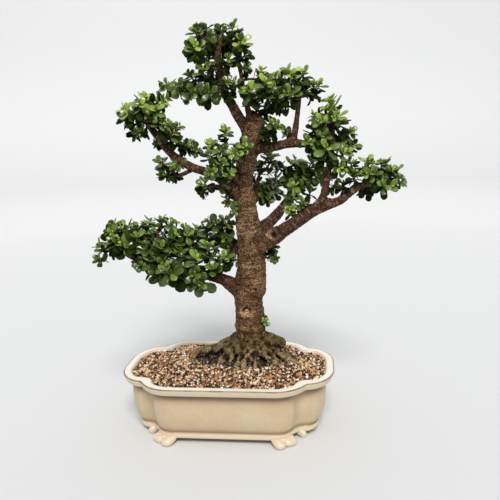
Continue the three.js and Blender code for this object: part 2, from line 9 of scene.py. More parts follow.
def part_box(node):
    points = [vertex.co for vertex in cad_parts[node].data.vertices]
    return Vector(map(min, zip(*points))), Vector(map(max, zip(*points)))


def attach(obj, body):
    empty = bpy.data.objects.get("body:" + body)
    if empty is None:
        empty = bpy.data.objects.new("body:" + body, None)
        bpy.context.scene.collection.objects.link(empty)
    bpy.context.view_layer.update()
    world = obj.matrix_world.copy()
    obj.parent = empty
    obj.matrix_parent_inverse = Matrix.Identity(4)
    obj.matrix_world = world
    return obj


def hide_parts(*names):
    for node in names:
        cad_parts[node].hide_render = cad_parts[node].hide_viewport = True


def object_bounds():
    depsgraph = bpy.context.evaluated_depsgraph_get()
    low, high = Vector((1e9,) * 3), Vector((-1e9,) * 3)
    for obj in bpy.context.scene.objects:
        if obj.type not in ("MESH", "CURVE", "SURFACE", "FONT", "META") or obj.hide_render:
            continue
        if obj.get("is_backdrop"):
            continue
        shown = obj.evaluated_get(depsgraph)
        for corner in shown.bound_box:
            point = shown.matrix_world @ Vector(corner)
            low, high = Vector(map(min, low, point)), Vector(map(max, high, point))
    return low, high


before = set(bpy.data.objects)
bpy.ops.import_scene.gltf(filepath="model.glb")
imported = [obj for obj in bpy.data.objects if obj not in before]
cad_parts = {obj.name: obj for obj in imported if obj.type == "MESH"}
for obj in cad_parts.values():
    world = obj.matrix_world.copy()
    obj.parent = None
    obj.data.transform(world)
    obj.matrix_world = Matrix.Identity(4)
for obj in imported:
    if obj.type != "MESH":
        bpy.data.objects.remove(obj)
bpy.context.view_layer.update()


# ---------------------------------------------------------------- the pot
#
# One piece of stoneware, pressed in a mould and dipped in a cream satin glaze. Rim, wall and base moulding
# follow one outline of four lobes. The four cloud feet are pressed on by hand, and the floor is pierced for
# water and wire.

MM = 0.001
pot_low, pot_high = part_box("pot")
POT_CENTRE = np.array([(pot_low.x + pot_high.x) / 2, (pot_low.y + pot_high.y) / 2]) / MM
HALF_LENGTH = (pot_high.x - pot_low.x) / 2 / MM
HALF_DEPTH = (pot_high.y - pot_low.y) / 2 / MM
POT_HEIGHT = pot_high.z / MM
FLOOR_BOTTOM, FLOOR_TOP = 10.0, 18.0
POINTS_PER_CURVE = 40
OUTLINE_STEP = 1.5
NOTCH_SOFTNESS = 1.4
RIM_SOFTNESS = 4.0

# Height, distance inside the rim's outline, and rounding of each corner of the pot's section.
SECTION_CORNERS = [
    (FLOOR_BOTTOM, 35.0, 0.0), (7.6, 29.0, 2.0), (7.6, 21.6, 2.6), (14.6, 21.2, 3.0), (16.4, 23.6, 1.2),
    (21.0, 19.4, 3.0), (29.0, 15.8, 6.0), (42.0, 12.9, 10.0), (77.4, 12.0, 1.6), (78.0, 3.4, 1.8),
    (86.2, 0.1, 1.5), (POT_HEIGHT, 0.7, 0.7), (POT_HEIGHT, 12.0, 1.4), (78.0, 17.5, 4.0),
    (36.0, 21.5, 8.0), (FLOOR_TOP, 34.0, 8.0),
]
POINTS_PER_CORNER = 5
NOTCHES = np.array([(116, 72), (-116, 72), (-116, -72), (116, -72)])
GROOVE_DEPTH, GROOVE_WIDTH = 5.0, 13.0
DEEPEST_INSET = 21.0
# The lobes and curls of one foot, each its distances from the pot's middle and its radius. The other three
# feet mirror it.
FOOT_LOBES = [(78.5, 84, 9.0), (90, 76, 7.8), (94.5, 73, 7.2), (109, 51, 5.2)]
FOOT_CURLS = [(70, 80, 4.5), (83, 77, 6.0), (91, 70, 6.0)]
# Each lobe is three balls that step inwards and up to meet the base moulding: the step, and then the lift
# and the size as shares of the foot's height and of the lobe's radius.
LOBE_STEPS = [(0.0, 0.40, 0.94), (3.0, 0.52, 0.95), (6.0, 0.62, 0.9)]
FOOT_HEIGHT = 12.0
# The feet are cut level where they meet the moulding, and merged into one skin of this fineness.
FOOT_TOP = 12.5
FOOT_FINENESS = 0.9
SOLE_LIFT, SOLE_HALF_HEIGHT, SOLE_SHARE = 2.0, 3.2, 0.62
BALL_RINGS, BALL_SIDES = 12, 18
# The drain holes and the wire holes, as distances from the pot's middle and a radius.
DRAINS = [(-72, 0, 11.0), (72, 0, 11.0), (-34, -14, 2.5), (34, -14, 2.5), (-34, 14, 2.5), (34, 14, 2.5)]
DRILL_LENGTH, DRILL_SIDES = 30, 32


def bezier(start, lean_out, lean_in, end):
    """A curve from start to end that leans towards the two points between them."""
    t = np.linspace(0, 1, POINTS_PER_CURVE)[:, None]
    start, lean_out, lean_in, end = (np.array(p, float) for p in (start, lean_out, lean_in, end))
    leaving = (1 - t) ** 3 * start + 3 * (1 - t) ** 2 * t * lean_out
    return leaving + 3 * (1 - t) * t ** 2 * lean_in + t ** 3 * end


def run_along(line):
    """How far each point of a line is along it."""
    return np.concatenate([[0], np.cumsum(np.linalg.norm(np.diff(line, axis=0), axis=1))])


def lobed_outline():
    """The rim seen from above, counter-clockwise, as evenly spaced points round the pot's middle."""
    notch = NOTCHES[0]
    long_lobe = bezier((70, HALF_DEPTH), (93, HALF_DEPTH), (108, 86), notch)
    short_lobe = bezier(notch, (132, 70), (HALF_LENGTH, 52), (HALF_LENGTH, 14))
    quarter = np.vstack([[(0, HALF_DEPTH)], long_lobe, short_lobe[1:], [(HALF_LENGTH, 0)]])
    back = np.vstack([quarter[::-1], quarter[1:] * (-1, 1)])
    ring = np.vstack([back, -back[1:]])
    along = run_along(ring)
    count = int(along[-1] / OUTLINE_STEP)
    even = np.linspace(0, along[-1], count, endpoint=False)
    ring = np.stack([np.interp(even, along, ring[:, axis]) for axis in (0, 1)], axis=1)
    return softened(ring, NOTCH_SOFTNESS)


def softened(ring, softness):
    """A closed ring of values, each averaged with its neighbours over some millimetres."""
    reach = int(3 * softness / OUTLINE_STEP) + 1
    shifts = range(-reach, reach + 1)
    weights = np.exp(-0.5 * (np.arange(-reach, reach + 1) * OUTLINE_STEP / softness) ** 2)
    return sum(w * np.roll(ring, k, axis=0) for w, k in zip(weights, shifts)) / weights.sum()


OUTLINE = lobed_outline()
along_rim = softened(np.roll(OUTLINE, -1, axis=0) - np.roll(OUTLINE, 1, axis=0), RIM_SOFTNESS)
along_rim /= np.linalg.norm(along_rim, axis=1)[:, None]
INWARD = np.stack([-along_rim[:, 1], along_rim[:, 0]], axis=1)
from_notch = np.linalg.norm(OUTLINE[:, None] - NOTCHES, axis=2).min(axis=1)
GROOVE = GROOVE_DEPTH * np.exp(-(from_notch / GROOVE_WIDTH) ** 2)


def rounded(corners):
    """The corners as a line whose every corner is a small curve, as (height, inset) pairs."""
    points = np.array([corner[:2] for corner in corners], float)
    line = [points[0]]
    for before, here, after, (_, _, rounding) in zip(points, points[1:], points[2:], corners[1:]):
        to_before, to_after = before - here, after - here
        cut = [min(rounding / np.linalg.norm(side), 0.48) for side in (to_before, to_after)]
        first, last = here + to_before * cut[0], here + to_after * cut[1]
        for t in np.linspace(0, 1, POINTS_PER_CORNER):
            line.append((1 - t) ** 2 * first + 2 * t * (1 - t) * here + t ** 2 * last)
    return np.array(line + [points[-1]])


def add_object(name, data):
    """An object in the scene that holds a mesh, a light or a camera."""
    made = bpy.data.objects.new(name, data)
    bpy.context.scene.collection.objects.link(made)
    return made


def mesh_object(name, vertices, faces):
    """A mesh in millimetres as an object in metres, with its faces turned outwards."""
    mesh = bpy.data.meshes.new(name)
    mesh.from_pydata([tuple(v) for v in np.asarray(vertices, float) * MM], [], [tuple(f) for f in faces])
    work = bmesh.new()
    work.from_mesh(mesh)
    bmesh.ops.recalc_face_normals(work, faces=work.faces)
    work.to_mesh(mesh)
    work.free()
    mesh.shade_smooth()
    return add_object(name, mesh)


def ring_faces(rings, sides, first=0):
    """The four-sided faces between rings of vertices, which are numbered ring by ring."""
    return [(first + r * sides + s, first + r * sides + (s + 1) % sides,
             first + (r + 1) * sides + (s + 1) % sides, first + (r + 1) * sides + s)
            for r in range(rings - 1) for s in range(sides)]


def shell_faces(rings, sides):
    """The faces of a closed shell: its rings of vertices, and then one vertex for each end."""
    first_pole, last_pole = rings * sides, rings * sides + 1
    last = (rings - 1) * sides
    faces = ring_faces(rings, sides)
    faces += [(first_pole, (s + 1) % sides, s) for s in range(sides)]
    faces += [(last_pole, last + s, last + (s + 1) % sides) for s in range(sides)]
    return faces


def lobed_shell(rings, centre=(0.0, 0.0)):
    """Vertices and faces of a closed shell. Each ring is (height, inset, share drawn in to the centre)."""
    middle = np.array(centre)
    vertices = []
    for height, inset, drawn in rings:
        # The grooves fade out at the rim's edge, and partly towards the foot.
        groove_share = min(1, max(0, (inset - 4) / 8)) * min(1, max(0.35, (height - 8) / 20))
        grooved = min(inset, DEEPEST_INSET) + GROOVE * groove_share
        deeper = max(0.0, inset - DEEPEST_INSET) / (HALF_DEPTH - DEEPEST_INSET)
        flat = (OUTLINE + INWARD * grooved[:, None]) * (1 - deeper) * (1 - drawn) + middle * drawn
        vertices.append(np.column_stack([flat + POT_CENTRE, np.full(len(OUTLINE), height)]))
    vertices.append([[*(middle + POT_CENTRE), rings[0][0]], [*(middle + POT_CENTRE), rings[-1][0]]])
    return np.vstack(vertices), shell_faces(len(rings), len(OUTLINE))


def with_modifiers(source, modifiers, name=None):
    """The mesh of an object after some modifiers, as a new object. The source is removed."""
    for kind, settings in modifiers:
        modifier = source.modifiers.new(kind.lower(), kind)
        for key, value in settings.items():
            setattr(modifier, key, value)
    graph = bpy.context.evaluated_depsgraph_get()
    evaluated = source.evaluated_get(graph)
    mesh = bpy.data.meshes.new_from_object(evaluated, preserve_all_data_layers=True, depsgraph=graph)
    made = add_object(name or source.name, mesh)
    mesh.name = made.name
    bpy.data.objects.remove(source)
    return made


def joined(name, shapes):
    """Several shapes, each its vertices and its faces, as one object."""
    starts = np.cumsum([0] + [len(vertices) for vertices, _ in shapes])
    faces = [[int(i + start) for i in face] for start, (_, part) in zip(starts, shapes) for face in part]
    return mesh_object(name, np.vstack([vertices for vertices, _ in shapes]), faces)


def ball(centre, radii):
    """Vertices and faces of a ball with its own radius along each axis."""
    falls = [math.pi * r / BALL_RINGS for r in range(1, BALL_RINGS)]
    rows = [(math.sin(fall), math.cos(fall)) for fall in falls]
    turns = [2 * math.pi * s / BALL_SIDES for s in range(BALL_SIDES)]
    skin = [(out * math.cos(a), out * math.sin(a), up) for out, up in rows for a in turns]
    skin += [(0, 0, 1), (0, 0, -1)]
    return np.array(skin) * radii + centre, shell_faces(len(rows), BALL_SIDES)


def mark(mesh, name, kind, values):
    """Stores a value at each vertex of a mesh, for its material or for the nodes that build on it."""
    layer = mesh.attributes.new(name, kind, "POINT")
    values = np.asarray(values, np.int32 if kind == "INT" else np.float32)
    layer.data.foreach_set("vector" if kind == "FLOAT_VECTOR" else "value", values.ravel())


def vertex_places(mesh):
    """Where the vertices of a mesh are, in metres, one to a row."""
    places = np.empty(len(mesh.vertices) * 3)
    mesh.vertices.foreach_get("co", places)
    return places.reshape(-1, 3)


section = rounded(SECTION_CORNERS)
pot = mesh_object("pot_body", *lobed_shell([(height, inset, 0.0) for height, inset in section]))
along_section = run_along(section)
mark(pot.data, "section_mm", "FLOAT", np.concatenate([np.repeat(along_section, len(OUTLINE)), [0, 0]]))
at_the_top = np.nonzero(section[:, 0] >= POT_HEIGHT - 1e-6)[0]
RIM_EDGE = float(along_section[at_the_top[0]])
FLANGE_END = float(along_section[at_the_top[-1]])

for x, y, radius in DRAINS:
    place = ((x + POT_CENTRE[0]) * MM, (y + POT_CENTRE[1]) * MM, (FLOOR_BOTTOM + FLOOR_TOP) / 2 * MM)
    bpy.ops.mesh.primitive_cylinder_add(vertices=DRILL_SIDES, radius=radius * MM, depth=DRILL_LENGTH * MM,
                                        location=place)
    drill = bpy.context.object
    bore = {"operation": "DIFFERENCE", "object": drill, "solver": "EXACT"}
    pot = with_modifiers(pot, [("BOOLEAN", bore)])
    bpy.data.objects.remove(drill)

blobs = []
for side_x in (-1, 1):
    for side_y in (-1, 1):
        for x, y, radius in FOOT_LOBES:
            outward = np.array([side_x * x, side_y * y]) / math.hypot(x, y)
            place = np.array([side_x * x, side_y * y]) + POT_CENTRE
            for inward, lift, share in LOBE_STEPS:
                centre = (*(place - outward * inward), lift * FOOT_HEIGHT)
                blobs.append(ball(centre, (share * radius, share * radius, 0.5 * FOOT_HEIGHT)))
            sole = (SOLE_SHARE * radius, SOLE_SHARE * radius, SOLE_HALF_HEIGHT)
            blobs.append(ball((*place, SOLE_LIFT), sole))
        for x, y, radius in FOOT_CURLS:
            place = (side_x * x + POT_CENTRE[0], side_y * y + POT_CENTRE[1], 0.75 * FOOT_HEIGHT)
            blobs.append(ball(place, (radius, radius, 0.8 * radius)))
feet = joined("pot_feet", blobs)
feet = with_modifiers(feet, [("REMESH", {"mode": "VOXEL", "voxel_size": FOOT_FINENESS * MM}),
                             ("SMOOTH", {"factor": 0.5, "iterations": 10})])
corners = vertex_places(feet.data)
corners[:, 2] = np.clip(corners[:, 2], 0, FOOT_TOP * MM)
feet.data.vertices.foreach_set("co", corners.ravel())
feet.data.shade_smooth()


class Value:
    """A number in a node tree. Python's operators on it add Math nodes."""

    def __init__(self, nodes, socket):
        self.nodes, self.socket = nodes, socket

    def math(self, operation, *terms):
        return self.nodes.node("ShaderNodeMath", {"operation": operation}, dict(enumerate(terms)))

    def __add__(self, other):
        return self.math("ADD", self, other)

    def __sub__(self, other):
        return self.math("SUBTRACT", self, other)

    def __rsub__(self, other):
        return self.math("SUBTRACT", other, self)

    def __mul__(self, other):
        return self.math("MULTIPLY", self, other)

    def __truediv__(self, other):
        return self.math("DIVIDE", self, other)

    def __pow__(self, other):
        return self.math("POWER", self, other)

    __radd__ = __add__
    __rmul__ = __mul__

    def between(self, low, high):
        """0 at low, 1 at high, and a smooth step between them."""
        return self.nodes.node("ShaderNodeMapRange", {"interpolation_type": "SMOOTHSTEP"},
                               {"Value": self, "From Min": low, "From Max": high})


class Nodes:
    """A node tree to which node() adds any kind of node."""

    def __init__(self, tree):
        self.tree = tree

    def node(self, kind, settings=None, sockets=None, output=0):
        """Adds a node: its settings first, then the values or links of its sockets. Returns one output."""
        made = self.tree.nodes.new(kind)
        for key, value in (settings or {}).items():
            if key == "stops":
                while len(made.color_ramp.elements) < len(value):
                    made.color_ramp.elements.new(1.0)
                for element, (place, colour) in zip(made.color_ramp.elements, value):
                    element.position, element.color = place, (*colour, 1.0)
            elif key == "ramp":
                made.color_ramp.interpolation = value
            else:
                setattr(made, key, value)
        for key, value in (sockets or {}).items():
            self.give(made.inputs[key], value)
        if not made.outputs:
            return made
        socket = made.outputs[output]
        return Value(self, socket) if socket.type in {"VALUE", "INT"} else socket

    def give(self, socket, value):
        if isinstance(value, Value):
            self.tree.links.new(value.socket, socket)
        elif isinstance(value, bpy.types.NodeSocket):
            self.tree.links.new(value, socket)
        elif socket.type == "RGBA" and len(value) == 3:
            socket.default_value = (*value, 1.0)
        else:
            socket.default_value = value


class Finish(Nodes):
    """A material. Keyword values are set on its shader's own sockets."""

    def __init__(self, name, **constants):
        self.material = bpy.data.materials.new(name)
        self.material.use_nodes = True
        super().__init__(self.material.node_tree)
        self.shader = self.tree.nodes["Principled BSDF"]
        for key, value in constants.items():
            self.shader.inputs[key.replace("_", " ")].default_value = value
        self.place = self.node("ShaderNodeTexCoord", output="Object")

    def noise(self, scale, detail=3.0, roughness=0.55, vector=None):
        return self.node("ShaderNodeTexNoise", None, {"Vector": vector or self.place, "Scale": scale,
                                                      "Detail": detail, "Roughness": roughness}, "Fac")

    def attribute(self, name, output="Fac"):
        return self.node("ShaderNodeAttribute", {"attribute_name": name}, None, output)

    def axis(self, number, vector=None):
        """The x, y or z of the place on the piece, or of another vector, as 0, 1 or 2."""
        return self.node("ShaderNodeSeparateXYZ", None, {0: vector or self.place}, number)

    def ramp(self, factor, stops, steps="LINEAR"):
        """A colour for each value of factor. Each stop is a value and its colour."""
        return self.node("ShaderNodeValToRGB", {"ramp": steps, "stops": stops}, {0: factor})

    def mix(self, factor, first, second):
        return self.node("ShaderNodeMix", {"data_type": "RGBA"}, {0: factor, 6: first, 7: second}, 2)

    def bump(self, height, distance, strength):
        return self.node("ShaderNodeBump", None,
                         {"Height": height, "Distance": distance, "Strength": strength})

    def done(self, **links):
        for key, value in links.items():
            self.give(self.shader.inputs[key.replace("_", " ")], value)
        return self.material


def stoneware():
    finish = Finish("cream stoneware", Specular_IOR_Level=0.5, Coat_Roughness=0.25)
    section_mm = finish.attribute("section_mm")
    height = finish.axis(2)
    cloud = finish.noise(22.0, 4.0)
    fine = finish.noise(260.0, 3.0)
    speck = finish.noise(900.0, 2.0)
    body = finish.ramp(cloud * 0.7 + fine * 0.3, [(0.3, (0.52, 0.39, 0.235)), (0.7, (0.62, 0.49, 0.32))])
    thick_glaze = height.between(0.0775, 0.079) + (1 - height.between(0.0135, 0.0155))
    body = finish.mix(thick_glaze * 0.8, body, (0.72, 0.60, 0.44))
    # The flange's top is painted almost white: a painted highlight for the light from above.
    past_flange = section_mm.between(FLANGE_END, FLANGE_END + 3)
    lit_flange_top = section_mm.between(RIM_EDGE - 0.4, RIM_EDGE + 0.4) * (1 - past_flange)
    body = finish.mix(lit_flange_top * 0.9, body, (0.90, 0.84, 0.71))
    # Under the lip the wall is painted dark brown, fading downwards: partly the glaze's own colour and
    # partly painted shadow cast by the lip.
    glaze_run_and_lip_shadow = (height.between(0.054, 0.079) ** 1.9) * (1 - height.between(0.0775, 0.0784))
    body = finish.mix(glaze_run_and_lip_shadow * 0.95, body, (0.125, 0.043, 0.009))
    # Painted shade in the groove above the base moulding and on the lower wall where it curves in under
    # itself.
    low_wall_shade = height.between(0.0140, 0.0165) * (1 - height.between(0.018, 0.027))
    body = finish.mix(low_wall_shade * 0.5, body, (0.22, 0.13, 0.06))
    breaks = (section_mm - (RIM_EDGE - 0.5)).math("ABSOLUTE", section_mm - (RIM_EDGE - 0.5))
    inner_breaks = section_mm.math("ABSOLUTE", section_mm - (FLANGE_END + 0.6))
    edge_line = (1 - breaks.between(0.9, 1.9)) + (1 - inner_breaks.between(0.2, 0.9)) * 0.6
    broken = finish.noise(60.0, 4.0).between(0.36, 0.56)
    body = finish.mix(edge_line * (0.7 + 0.28 * broken), body, (0.19, 0.115, 0.058))
    iron = speck.between(0.70, 0.76) * finish.noise(120.0, 2.0).between(0.45, 0.65)
    body = finish.mix(iron * 0.55, body, (0.22, 0.13, 0.06))
    orange_peel = finish.noise(420.0, 2.0)
    return finish.done(Base_Color=body, Roughness=0.30 + 0.16 * cloud, Coat_Weight=0.12 + 0.2 * thick_glaze,
                       Normal=finish.bump(orange_peel + cloud * 2.0, 0.00025, 0.5))


stoneware_finish = stoneware()
for part in (pot, feet):
    part.data.materials.clear()
    part.data.materials.append(stoneware_finish)
with bpy.context.temp_override(active_object=pot, selected_editable_objects=[pot, feet]):
    bpy.ops.object.join()
pot.name = "lobed_pot"
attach(pot, "root")
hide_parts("pot")


# ---------------------------------------------------------------- drain screens, clips and tie wire
#
# Black plastic mesh keeps the grit in over each drain hole. A staple of bare aluminium wire holds each
# mesh, and a longer wire is passed up through two holes in the floor to hold the root ball down.


def black_plastic():
    finish = Finish("black plastic mesh", Roughness=0.6)
    tint = finish.mix(finish.noise(300.0), (0.012, 0.012, 0.012), (0.035, 0.033, 0.03))
    return finish.done(Base_Color=tint, Roughness=0.5 + 0.2 * finish.noise(150.0),
                       Normal=finish.bump(finish.noise(900.0), 0.0001, 0.4))


def bare_wire():
    finish = Finish("bare aluminium wire", Metallic=1.0)
    tint = finish.mix(finish.noise(200.0), (0.50, 0.50, 0.51), (0.66, 0.66, 0.67))
    return finish.done(Base_Color=tint, Roughness=0.32 + 0.2 * finish.noise(400.0),
                       Normal=finish.bump(finish.noise(1200.0), 0.00005, 0.4))


for names, finish in ((("drain_screen_left", "drain_screen_right"), black_plastic()),
                      (("screen_clip_left", "screen_clip_right", "tie_wire"), bare_wire())):
    for name in names:
        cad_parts[name].data.materials.clear()
        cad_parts[name].data.materials.append(finish)


# ---------------------------------------------------------------- soil
#
# Loose crushed grit of many colours, grains of 2 to 5 mm, over a bed of the same with humus in it, painted
# near black, partly as shade between the grains. It fills the pot to just under the rim and is heaped up a
# little round the roots.

HEAP_CENTRE = (11, 60)
HEAP_SHARES = (0.0, 0.03, 0.42, 0.72, 1.0)
HEAP_HEIGHTS = (84.0, 85.5, 88.5, 93.0, 95.5)
BED_EDGE = 79
GRAIN_SPACING = 2.95
GRAIN_SIZE = 2.4
GRAIN_SHAPES = 5
GRAIN_DENT = 0.28
SMALLEST_GRAIN, LARGEST_GRAIN = (0.55, 0.55, 0.45), (1.35, 1.15, 1.0)
GRAINS_PER_SQUARE_METRE = 400000.0
# The spacing of the close layer and of the loose one, and how far each is lifted, in metres.
GRIT_LAYERS = [(1.0, 0.0), (1.5, 0.0009)]
ANY_TURN = 6.283


class Recipe(Nodes):
    """A Geometry Nodes tree with named inputs, which ends in Realize Instances and Set Material."""

    def __init__(self, name, inputs):
        super().__init__(bpy.data.node_groups.new(name, "GeometryNodeTree"))
        self.tree.interface.new_socket("Geometry", in_out="INPUT", socket_type="NodeSocketGeometry")
        for label, kind in inputs.items():
            self.tree.interface.new_socket(label, in_out="INPUT", socket_type=kind)
        self.tree.interface.new_socket("Geometry", in_out="OUTPUT", socket_type="NodeSocketGeometry")
        self.start = self.tree.nodes.new("NodeGroupInput")

    def input(self, label):
        socket = self.start.outputs[label]
        return Value(self, socket) if socket.type in {"VALUE", "INT"} else socket

    def named(self, name, kind):
        return self.node("GeometryNodeInputNamedAttribute", {"data_type": kind}, {"Name": name})

    def random(self, low, high, seed, kind="FLOAT"):
        """A random number or vector for each element."""
        names = {"FLOAT": (2, 3, 1), "FLOAT_VECTOR": (0, 1, 0)}[kind]
        return self.node("FunctionNodeRandomValue", {"data_type": kind},
                         {names[0]: low, names[1]: high, "Seed": seed}, names[2])

    def finish(self, geometry):
        solid = self.node("GeometryNodeRealizeInstances", None, {"Geometry": geometry})
        dressed = self.node("GeometryNodeSetMaterial", None,
                            {"Geometry": solid, "Material": self.input("Material")})
        self.tree.links.new(dressed, self.tree.nodes.new("NodeGroupOutput").inputs[0])

    def run(self, source, name, values):
        """The tree's result on an object as a plain mesh object. The source is removed."""
        modifier = source.modifiers.new("recipe", "NODES")
        modifier.node_group = self.tree
        for item in self.tree.interface.items_tree:
            if item.in_out == "INPUT" and item.name in values:
                modifier[item.identifier] = values[item.name]
        made = with_modifiers(source, [], name)
        made.data.materials.clear()
        made.data.materials.append(values["Material"])
        return made


def ripple(points, wavelength, seed):
    """A smooth random value from about -1 to 1 at each point, with lumps about half a wavelength apart."""
    waves = 26
    chance = np.random.default_rng(seed)
    directions = chance.normal(size=(waves, 3))
    directions /= np.linalg.norm(directions, axis=1)[:, None]
    lengths = wavelength * chance.uniform(0.7, 1.5, waves)
    phases = chance.uniform(0, 2 * math.pi, waves)
    angles = points @ (directions * (2 * math.pi / lengths)[:, None]).T + phases
    return np.cos(angles).sum(axis=1) / math.sqrt(waves / 2) / 2


# The top of the bed lies against the wall at its edge, and rises to the heap in twenty rings.
shares = np.linspace(0, 0.95, 20)
top_rings = [(np.interp(s, HEAP_SHARES, HEAP_HEIGHTS), 14.6 + 4.4 * min(1, s / 0.06), s) for s in shares]
bed_rings = [(FLOOR_TOP + 0.4, 36.0, 0.0), (36.0, 22.8, 0.0), (78.0, 18.4, 0.0)] + top_rings
bed_vertices, bed_faces = lobed_shell(bed_rings, HEAP_CENTRE)
lumps = ripple(bed_vertices, 22.0, 11) * 1.1 + ripple(bed_vertices, 7.0, 12) * 0.5
bed_vertices[:, 2] += np.where(bed_vertices[:, 2] > BED_EDGE, lumps, 0)
bed = mesh_object("soil_bed", bed_vertices, bed_faces)

first_top = 3 * len(OUTLINE)
top_faces = [f for f in bed_faces if min(f) >= first_top and max(f) < len(bed_vertices) - 2]
crown = mesh_object("grit_crown", bed_vertices, top_faces)


def grit_recipe():
    """Grains scattered over a surface, in one close layer and one loose one."""
    recipe = Recipe("scattered grit", {"Spacing": "NodeSocketFloat", "Grain size": "NodeSocketFloat",
                                       "Seed": "NodeSocketInt", "Material": "NodeSocketMaterial"})
    seed = recipe.input("Seed")
    shapes = []
    for variant in range(GRAIN_SHAPES):
        pebble = recipe.node("GeometryNodeMeshIcoSphere", None, {"Radius": 1.0, "Subdivisions": 1})
        dents = recipe.random((-GRAIN_DENT,) * 3, (GRAIN_DENT,) * 3, 40 + variant, "FLOAT_VECTOR")
        shapes.append(recipe.node("GeometryNodeSetPosition", None, {"Geometry": pebble, "Offset": dents}))
    kinds = recipe.tree.nodes.new("GeometryNodeGeometryToInstance")
    for shape in reversed(shapes):
        recipe.tree.links.new(shape, kinds.inputs[0])
    layers = []
    for layer, (spread, lift) in enumerate(GRIT_LAYERS):
        points = recipe.node("GeometryNodeDistributePointsOnFaces", {"distribute_method": "POISSON"}, {
            "Mesh": recipe.start.outputs[0], "Distance Min": recipe.input("Spacing") * spread,
            "Density Max": GRAINS_PER_SQUARE_METRE, "Seed": seed + layer}, "Points")
        lifted = recipe.node("GeometryNodeSetPosition", None, {"Geometry": points, "Offset": (0, 0, lift)})
        scale = recipe.random(SMALLEST_GRAIN, LARGEST_GRAIN, 3 + layer, "FLOAT_VECTOR")
        size = recipe.node("ShaderNodeVectorMath", {"operation": "SCALE"},
                           {0: scale, "Scale": recipe.input("Grain size")})
        turn = recipe.random((0.0,) * 3, (ANY_TURN,) * 3, 7 + layer, "FLOAT_VECTOR")
        turn = recipe.node("FunctionNodeEulerToRotation", None, {0: turn})
        layers.append(recipe.node("GeometryNodeInstanceOnPoints", None, {
            "Points": lifted, "Instance": kinds.outputs[0], "Pick Instance": True,
            "Rotation": turn, "Scale": size}))
    both = recipe.tree.nodes.new("GeometryNodeJoinGeometry")
    for grains in layers:
        recipe.tree.links.new(grains, both.inputs[0])
    tinted = recipe.node("GeometryNodeStoreNamedAttribute", {"data_type": "FLOAT", "domain": "INSTANCE"},
                         {"Geometry": both.outputs[0], "Name": "grain",
                          "Value": recipe.random(0.0, 1.0, 19)})
    recipe.finish(tinted)
    return recipe


def crushed_grit():
    finish = Finish("crushed grit", Specular_IOR_Level=0.25)
    grain = finish.attribute("grain")
    # The near-black grains are partly painted shade: they stand for the dark gaps between the grains.
    stops = [(0.0, (0.008, 0.005, 0.003)), (0.17, (0.06, 0.028, 0.014)), (0.26, (0.45, 0.22, 0.09)),
             (0.40, (0.70, 0.46, 0.23)), (0.54, (0.50, 0.23, 0.15)), (0.65, (0.95, 0.77, 0.52)),
             (0.79, (0.13, 0.085, 0.05)), (0.89, (1.0, 0.95, 0.85)), (0.94, (0.22, 0.07, 0.03))]
    tint = finish.ramp(grain, stops, "CONSTANT")
    tint = finish.mix(finish.noise(700.0, 4.0).between(0.35, 0.7) * 0.35, tint, (0.16, 0.09, 0.05))
    # Near the trunk the grit is darkened, less on the pale grains: partly moist humus and partly painted
    # shade under the roots.
    x, y = finish.axis(0), finish.axis(1)
    from_trunk = ((x + 0.008) / 0.082) ** 2 + ((y + 0.004) / 0.047) ** 2 + finish.noise(45.0) * 0.6
    pale = grain.between(0.88, 0.90) * (1 - grain.between(0.93, 0.95))
    humus_and_root_shade = (1 - from_trunk.between(0.9, 1.5)) * (1 - pale * 0.4)
    tint = finish.mix(humus_and_root_shade * 0.9, tint, (0.018, 0.010, 0.006))
    return finish.done(Base_Color=tint, Roughness=0.7 + 0.25 * finish.noise(300.0),
                       Normal=finish.bump(finish.noise(1500.0), 0.0003, 0.6))


def bed_with_gap_shade():
    # The bed is painted near black: partly humus and partly painted shade for the gaps between the grains.
    finish = Finish("grit bed", Roughness=0.95)
    tint = finish.mix(finish.noise(500.0), (0.010, 0.005, 0.003), (0.06, 0.032, 0.016))
    return finish.done(Base_Color=tint, Normal=finish.bump(finish.noise(600.0), 0.001, 0.8))


bed.data.materials.append(bed_with_gap_shade())
grit = grit_recipe().run(crown, "grit", {"Spacing": GRAIN_SPACING * MM, "Grain size": GRAIN_SIZE * MM,
                                         "Seed": 5, "Material": crushed_grit()})
grit.data.shade_flat()
for piece in (bed, grit):
    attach(piece, "root")
    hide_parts("soil")


# ---------------------------------------------------------------- trunk, branches and roots
#
# One grown piece. The trunk is thick, soft-wooded and ringed by old leaf scars, with bark that is rough and
# brown low down and smoother and redder on the young branches. Thick roots spread over the grit and dive
# into it.

